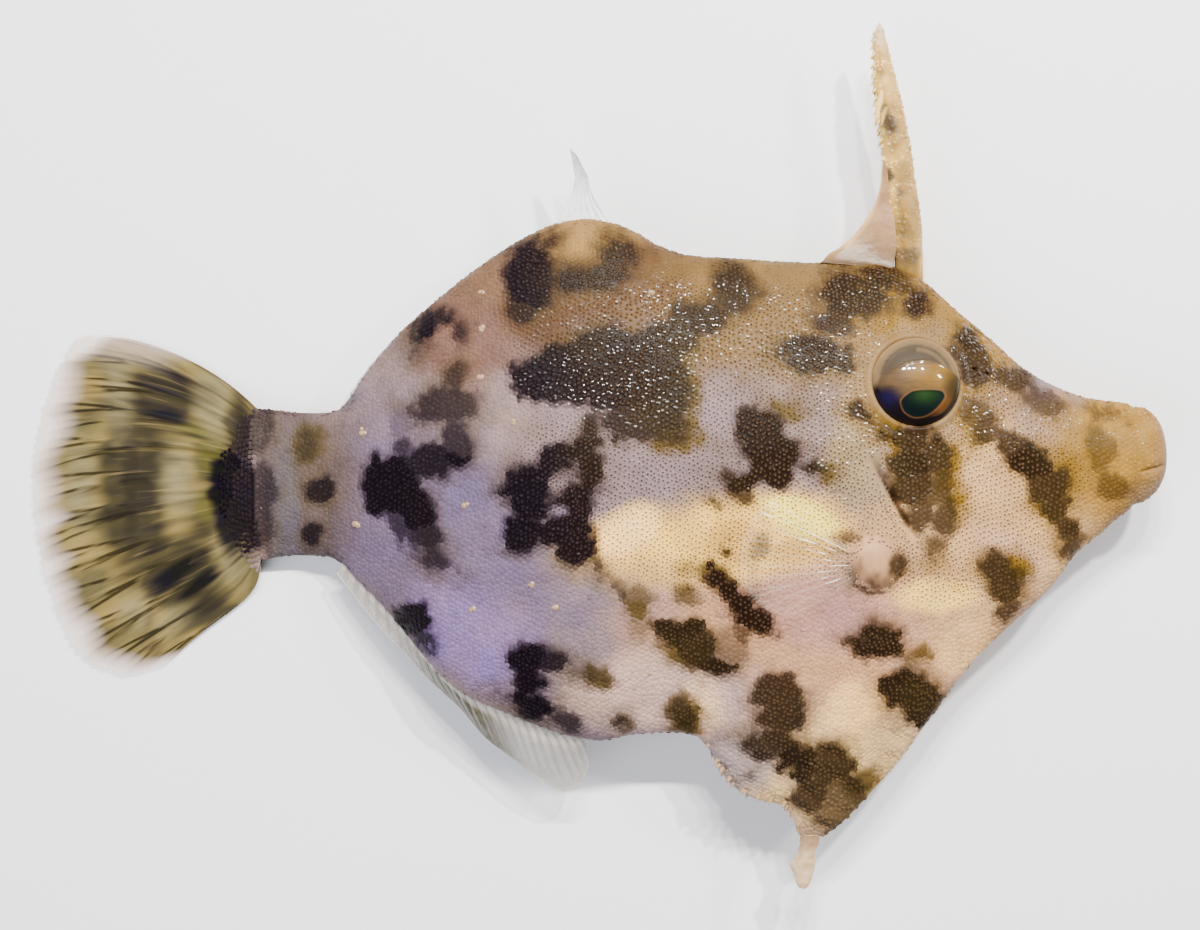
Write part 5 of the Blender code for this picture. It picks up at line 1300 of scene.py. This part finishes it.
def make_web(look):
    """The web of skin from the spine's hind edge down to the back."""
    share = np.linspace(0, 1, 70)
    across = np.linspace(0, 1, 60)[None]
    width = curve_through(SPINE_WIDTH)
    spine_share = 0.02 + (WEB_TOP - 0.02) * share
    centre, _, forward = spine_frame(spine_share)
    wall = centre - forward * (width(spine_share) / 2 - 0.25)[:, None]
    far = path_through(WEB_EDGE)(share)
    near_foot, far_foot = WEB_FOOT_X, WEB_EDGE[0][0]
    near = wall[:, :2].copy()
    blend = smooth_step(0.12, 0.0, share)[:, None]
    near = near + (np.array([near_foot, back_y(near_foot)]) - near) * blend
    x = near[:, :1] + (far[:, :1] - near[:, :1]) * across
    base = back_y(near_foot) + (back_y(far_foot) - back_y(near_foot)) * across
    follow = back_y(near_foot + (far_foot - near_foot) * across) - base
    fall = (1 - share[:, None]) ** 3
    y = near[:, 1:] + (far[:, 1:] - near[:, 1:]) * across + follow * fall
    y = y - 0.45 * smooth_step(0.1, 0.0, share)[:, None]
    centres = np.stack([x, y, FLANK_LEVEL + 0.1 * flat_noise(x, y, 2.2, 77)], axis=-1)
    half = (0.4 - 0.2 * across) * (1 - 0.25 * share[:, None]) + 0.035 * flat_noise(x * 1.6, y * 0.5, 1.1, 76)
    half = half * np.sqrt(np.clip(1 - smooth_step(0.85, 1.0, across), 0.04, 1)) + 0.5 * fall**6
    floats = {"edge": smooth_step(0.7, 1.0, across), "low": np.clip(1.15 * fall**3, 0, 1)}
    piece = sheet_piece("spine_web_fine", centres, half[..., None] * UP, look, floats)
    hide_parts("spine_web")


def make_tab(look):
    """The small rough tab of the pelvic bone at the belly flap's lowest corner."""
    left, right, thick = curve_through(TAB_LEFT), curve_through(TAB_RIGHT), curve_through(TAB_THICK)
    sides, share = 40, np.linspace(0, 1, 70)
    y = TAB_TOP_Y + (TAB_TIP_Y + 0.05 - TAB_TOP_Y) * share**0.9
    middle, half = (left(y) + right(y)) / 2, (right(y) - left(y)) / 2 - 0.05
    half = half * np.sqrt(np.clip(1 - smooth_step(0.94, 1.0, share), 0.01, 1))
    turn = 2 * np.pi * np.arange(sides) / sides
    x = middle[:, None] + half[:, None] * np.cos(turn)
    z = FLANK_LEVEL + (thick(y) / 2 - 0.04)[:, None] * np.sin(turn)
    points = np.stack([x, y[:, None] + 0 * x, z], axis=-1).reshape(-1, 3)
    out = normalized(points - np.stack([middle, y, 0 * y + FLANK_LEVEL], axis=1).repeat(sides, axis=0))
    grit = noise(points, 0.3, 78)
    points = points + out * (0.04 * grit)[:, None]
    floats = {"brown": 0.8 * smooth_step(-28.8, -27.1, points[:, 1]), "tip": 0.5 + 0.5 * grit}
    piece = mesh_piece("pelvic_tab_fine", points, tube_faces(len(share), sides), look, floats, closed=True)
    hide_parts("pelvic_tab")


def make_fringe(look):
    """The rough hind margin of the belly flap: short spinules that point back and down."""
    rng = np.random.default_rng(81)
    count = 46
    x = np.sort(rng.uniform(7.6, 14.0, count))
    z = level(x) + rng.uniform(-0.75, 0.75, count)
    roots = np.stack([x, belly_y(x) + 0.2 + 0.25 * np.abs(z - level(x)), z], axis=1)
    lean = -0.75 + 0.35 * (x - 7.9) / 6.0
    ways = np.stack([lean + rng.normal(0, 0.15, count), -np.ones(count), 0.4 * (z - level(x))], axis=1)
    lengths = rng.uniform(0.2, 0.5, count)
    points, faces = cones(roots, ways, lengths, np.full(count, 0.2))
    points[:, 2] = np.maximum(points[:, 2], FLOOR_GAP)
    floats = {"brown": np.full(len(points), 0.3), "tip": 0.8 * on_cones([0.0, 0.3, 0.7, 1.0], count)}
    piece = mesh_piece("flap_spinules", points, [faces], look, floats, closed=True)


def make_eye(side, bulge, look):
    """The eye: a glossy low dome with a flat-topped pupil, striped iris and a grey fold over its top."""
    centre, axis = eye_frame(side)
    right = np.cross([0.0, 1.0, 0.0], axis) * side
    right /= np.linalg.norm(right)
    up = np.cross(axis, right) * side
    rings, spokes = 110, 220
    share = np.linspace(0, 1, rings + 1)[1:]
    turn = 2 * np.pi * np.arange(spokes) / spokes
    u = (share[:, None] * np.cos(turn)).ravel()
    w = (share[:, None] * np.sin(turn)).ravel()
    u, w = np.append(u, 0.0), np.append(w, 0.0)
    far = np.hypot(u, w)
    pupil = pupil_depth(u, w)
    lid_edge = w - (0.46 - 0.52 * (u - 0.12) ** 2)
    lid = smooth_step(-0.04, 0.05, lid_edge / (1 + 2.2 * smooth_step(0.1, -0.7, u)))
    top = smooth_step(-0.15, 0.5, w)
    rise = (bulge - 0.05) * (1 - far**2) ** (EYE_ROUND + 0.35 * top)
    arcs = 0.02 * bell(far - 0.8, 0.035) * lid + 0.03 * bell(lid_edge, 0.03)
    rise = rise + (arcs - 0.03 * smooth_step(0.0, 0.05, pupil)) * (1 - far**6) + 0.1 * top * far**4
    points = centre + EYEBALL_RADIUS * (u[:, None] * right + w[:, None] * up) + rise[:, None] * axis
    wall = centre + EYEBALL_RADIUS * (np.cos(turn)[:, None] * right + np.sin(turn)[:, None] * up) - 1.2 * axis
    points = np.concatenate([points, wall])
    points[:, 2] = np.maximum(points[:, 2], FLOOR_GAP)
    k = np.arange(spokes)
    nxt = (k + 1) % spokes
    middle = rings * spokes
    fan = np.stack([np.full(spokes, middle), k, nxt], axis=1)
    low = middle + 1
    starts = [r * spokes for r in range(rings)] + [low]
    belts = [
        np.stack([first + k, second + k, second + nxt, first + nxt], axis=1)
        for first, second in zip(starts, starts[1:])
    ]
    bottom = (low + k[::-1])[None]
    spot = np.stack([u, w, 0 * u], axis=1)
    stripes = noise(spot * [1.2, 9.0, 1], 0.55, 91) * 0.6 + noise(spot * [3, 22.0, 1], 0.55, 92) * 0.4
    ring_width = 0.016 + 0.012 * smooth_step(0.3, 0.6, u)
    gold = smooth_step(-0.45, 0.3, u) * smooth_step(0.42, 0.05, np.abs(w - 0.16)) + 0.45 * stripes
    # shade is painted shade: darker towards the lower left and along the lower rim.
    shade = smooth_step(-0.3, -0.75, w + 0.5 * u) + smooth_step(0.84, 0.97, far) * smooth_step(0.0, -0.4, w)
    rim = smooth_step(0.78, 0.9, far + 0.03 * stripes) + 0.7 * bell(far - 0.72, 0.05) * (u > 0)
    floats = {
        "pupil": smooth_step(-0.012, 0.012, pupil),
        "ring": bell(pupil + 0.022, ring_width) * (0.9 - 0.4 * smooth_step(0.1, -0.6, w)),
        # The pupil's green sheen below is a painted reflection.
        "painted_pupil_sheen": bell(np.hypot(u - 0.16, 1.6 * (w + 0.3)), 0.3),
        "gold": np.clip(gold, 0, 1),
        "side": smooth_step(0.42, 0.85, u + 0.08 * stripes) * smooth_step(0.5, 0.0, w),
        "skin": smooth_step(0.9, 1.0, far + 0.01 * stripes) * smooth_step(-0.1, 0.4, w),
        "rust": smooth_step(-0.25, -0.5, w) * smooth_step(-0.1, 0.3, u) * smooth_step(0.97, 0.8, far),
        # violet is a painted reflection of violet light on the dark lower left.
        "violet": bell(np.hypot(u + 0.66, w + 0.36), 0.22),
        "shade": np.clip(shade, 0, 1),
        "lid": lid,
        "rim": np.clip(rim, 0, 1) * lid,
        "stripe": 0.5 + 0.5 * stripes,
    }
    # The socket's wall takes shade 1: painted shade, near black.
    floats = {key: np.concatenate([v, np.full(spokes, float(key == "shade"))]) for key, v in floats.items()}
    name = "right" if side > 0 else "left"
    piece = mesh_piece(f"eyeball_{name}", points, [fan, *belts, bottom], look, floats, closed=True)
    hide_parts(f"eye_{name}")


def pupil_depth(u, w):
    """Depth inside the flat-topped pupil, in shares of the eye's radius."""
    corners = [(-0.4, -0.44), (-0.16, -0.225), (0.18, -0.185), (0.56, -0.215), (0.63, -0.34), (0.45, -0.6),
               (0.19, -0.78), (-0.1, -0.81), (-0.32, -0.68)]
    depth = np.full(len(u), 9.0)
    for (ax, ay), (bx, by) in zip(corners, corners[1:] + corners[:1]):
        run = math.hypot(bx - ax, by - ay)
        inside = ((u - ax) * (by - ay) - (w - ay) * (bx - ax)) / run
        depth = -np.logaddexp(-depth * 30, -inside * 30) / 30
    return depth


def fin_material(name, membrane, ray, murk=None):
    """A clear wet membrane with its rays, and a murk over part of it where one is given."""
    n = Nodes(name)
    colour = n.mix(n.attribute("ray"), membrane, ray)
    if murk:
        colour = n.paint(colour, murk=murk)
    n.set(Base_Color=n.uneven(colour, 1500.0, 0.85, 1.1), Alpha=n.math("SUBTRACT", 1.0, n.attribute("clear")))
    n.set(Roughness=0.16, Specular_IOR_Level=0.7)
    return n.material


def tail_material():
    """The tail fin: tan, with fine dark streaks along its rays, dark and pale bars, and a clear margin."""
    n = Nodes("tail")

    def streaks(bands, reach, low, high, share):
        """Streaks along the rays, from 0 to share."""
        return n.math("MULTIPLY", n.ramp(n.flow(bands, reach), [(low, 0.0), (high, 1.0)]), share)

    murk = n.ramp(n.flow(12.0, 4.0), [(0.35, 0.0), (0.65, 1.0)])
    colour = n.mix(murk, (124, 106, 60), (84, 76, 48))
    colour = n.paint(colour, brown=(44, 40, 29), gold=(88, 84, 34), pale=(122, 112, 80))
    colour = n.mix(streaks(34.0, 3.0, 0.48, 0.7, 0.55), colour, (62, 54, 30))
    outer = n.ramp(n.attribute("out"), [(0.3, 0.25), (0.6, 1.0)])
    on_ray = n.ramp(n.attribute("ray"), [(0.4, 0.0), (0.8, 0.9)])
    colour = n.mix(n.math("MULTIPLY", streaks(34.0, 4.0, 0.42, 0.54, outer), on_ray), colour, (30, 25, 12))
    colour = n.mix(streaks(80.0, 3.0, 0.58, 0.72, 0.3), colour, (150, 130, 84))
    colour = n.paint(colour, dark=n.mix(murk, (13, 9, 26), (17, 17, 13)), clear=(226, 204, 190))
    n.set(Base_Color=colour, Alpha=n.math("SUBTRACT", 0.96, n.math("MULTIPLY", n.attribute("clear"), 0.72)))
    n.set(Roughness=0.5, Specular_IOR_Level=0.06)
    return n.material


def spine_material():
    """Cream horn, golden towards its root, with brown freckles and a white tip."""
    n = Nodes("spine")
    colour = n.mix(n.attribute("tip"), (188, 148, 74), (234, 196, 124))
    colour = n.mix(n.math("MULTIPLY", n.attribute("gold"), 0.85), colour, (124, 92, 30))
    colour = n.mix(n.math("MULTIPLY", n.attribute("white"), 0.85), colour, (180, 160, 132))
    colour = n.paint(colour, brown=(58, 45, 32))
    n.set(Base_Color=n.uneven(colour, 900.0, 0.7, 1.16, 5.0), Roughness=0.4, Specular_IOR_Level=0.2)
    n.set(Coat_Weight=0.6, Coat_Roughness=WET_ROUGHNESS)
    n.bump(n.noise(2300.0, 2.0), 1.0, FILM_DEPTH, "Coat Normal")
    return n.material


def tab_material():
    """The rough cream tab and spinules."""
    n = Nodes("tab")
    colour = n.mix(n.attribute("tip"), (172, 142, 104), (208, 180, 142))
    colour = n.paint(colour, brown=(120, 90, 64))
    n.set(Base_Color=n.uneven(colour, 1300.0, 0.85, 1.1), Roughness=0.28)
    return n.material


def web_material():
    """Smooth wet skin between the spine and the back."""
    n = Nodes("web")
    colour = n.mix(n.attribute("edge"), (149, 114, 80), (208, 166, 108))
    colour = n.paint(colour, low=(84, 64, 42))
    n.set(Base_Color=n.uneven(colour, 700.0, 0.74, 1.16), Roughness=0.34, Specular_IOR_Level=0.3)
    n.bump(n.noise(1500.0, 4.0), 0.5, 0.00012)
    return n.material


def eye_material():
    """Iris, pupil and fold under one wet coat."""
    n = Nodes("eye")
    # The green of the upper pupil is a painted reflection.
    pupil = n.mix(n.attribute("painted_pupil_sheen"), (2, 11, 13), (24, 46, 16))
    lid = n.mix(n.attribute("rim"), (60, 50, 38), (98, 80, 56))
    lid = n.paint(lid, skin=(118, 93, 56))
    colour = n.mix(n.attribute("stripe"), (62, 48, 32), (94, 72, 44))
    # shade is painted shade, and violet a painted reflection of violet light.
    colour = n.paint(
        colour, gold=(114, 82, 26), side=(52, 39, 16), rust=(76, 46, 16), shade=(10, 5, 5),
        violet=(16, 8, 40), ring=(100, 66, 42), pupil=pupil, lid=lid,
    )
    n.set(Base_Color=n.uneven(colour, 900.0, 0.85, 1.12), Roughness=0.4, Specular_IOR_Level=0.1)
    n.set(Coat_Weight=0.45, Coat_Roughness=0.04)
    return n.material


def make_camera():
    """Straight down from 200 mm, over the middle of the reference view."""
    camera = bpy.data.objects.new("camera", bpy.data.cameras.new("camera"))
    camera.data.sensor_width = SENSOR_WIDTH
    camera.data.lens = SENSOR_WIDTH * CAMERA_HEIGHT / VIEW_WIDTH
    camera.data.clip_start, camera.data.clip_end = 0.01, 5.0
    camera.location = Vector(world([0.0, 0.0, CAMERA_HEIGHT]))
    bpy.context.scene.collection.objects.link(camera)
    bpy.context.scene.camera = camera


def make_light(name, place, size, power, colour):
    """An area light of a length and a width in millimetres, aimed at the fish."""
    lamp = bpy.data.lights.new(name, "AREA")
    lamp.shape = "RECTANGLE"
    lamp.size, lamp.size_y = (side * MM for side in size)
    lamp.energy = power
    lamp.color = colour
    thing = bpy.data.objects.new(name, lamp)
    thing.location = Vector(world(place))
    aim = Vector(world(AIM)) - thing.location
    thing.rotation_euler = aim.to_track_quat("-Z", "Y").to_euler()
    bpy.context.scene.collection.objects.link(thing)
    return thing


def make_studio():
    """A pale floor, a pale world, a row of lamps on the back's side and two softer fills."""
    n = Nodes("floor")
    n.set(Base_Color=n.mix(n.noise(9.0), (236, 236, 240), (244, 244, 246)), Roughness=0.7)
    corners = [(x * FLOOR_HALF, y * FLOOR_HALF, 0) for x, y in ((-1, -1), (1, -1), (1, 1), (-1, 1))]
    mesh = bpy.data.meshes.new("floor")
    mesh.from_pydata(corners, [], [(0, 1, 2, 3)])
    mesh.materials.append(n.material)
    floor = bpy.data.objects.new("floor", mesh)
    bpy.context.scene.collection.objects.link(floor)
    sky = bpy.data.worlds.new("studio")
    sky.use_nodes = True
    background = sky.node_tree.nodes["Background"]
    background.inputs["Color"].default_value = (0.95, 0.96, 1.0, 1.0)
    background.inputs["Strength"].default_value = 0.2
    bpy.context.scene.world = sky
    for i, (x, power) in enumerate(LAMPS):
        make_light(f"key_{i}", (x, LAMP_Y, LAMP_Z), LAMP_SIZE, power, (1.0, 0.97, 0.92))
    make_light("side", (235.0, 120.0, 190.0), (24.0, 24.0), 0.5, (1.0, 0.95, 0.88))
    fill = make_light("fill", (-190.0, -130.0, 210.0), (330.0, 330.0), 1.5, (0.9, 0.92, 1.0))
    fill.visible_glossy = False


def main():
    """Every piece, then the camera, the floor and the lights."""
    skin = make_skin(skin_material())
    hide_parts("head", "trunk", "belly_flap", "tail_stalk")
    scale_look = scale_material()
    make_scales(scale_look)
    make_tail(tail_material(), scale_look)
    clear = fin_material("fin_clear", (222, 214, 190), (255, 250, 238))
    for side in (1, -1):
        make_pectoral(side, clear)
    pleats = fin_material("fin_pleats", (148, 154, 172), (248, 248, 250))
    make_soft_dorsal(pleats)
    glassy = fin_material("fin_glassy", (150, 140, 128), (198, 190, 178), (78, 72, 48))
    make_folded_dorsal(glassy)
    make_anal_fin(glassy)
    spine_look, tab_look = spine_material(), tab_material()
    make_spine(spine_look)
    make_web(web_material())
    make_tab(tab_look)
    make_papillae(tab_look)
    make_fringe(tab_look)
    eye_look = eye_material()
    make_eye(1, EYE_BULGE, eye_look)
    make_eye(-1, LOW_EYE_BULGE, eye_look)
    make_camera()
    make_studio()


main()
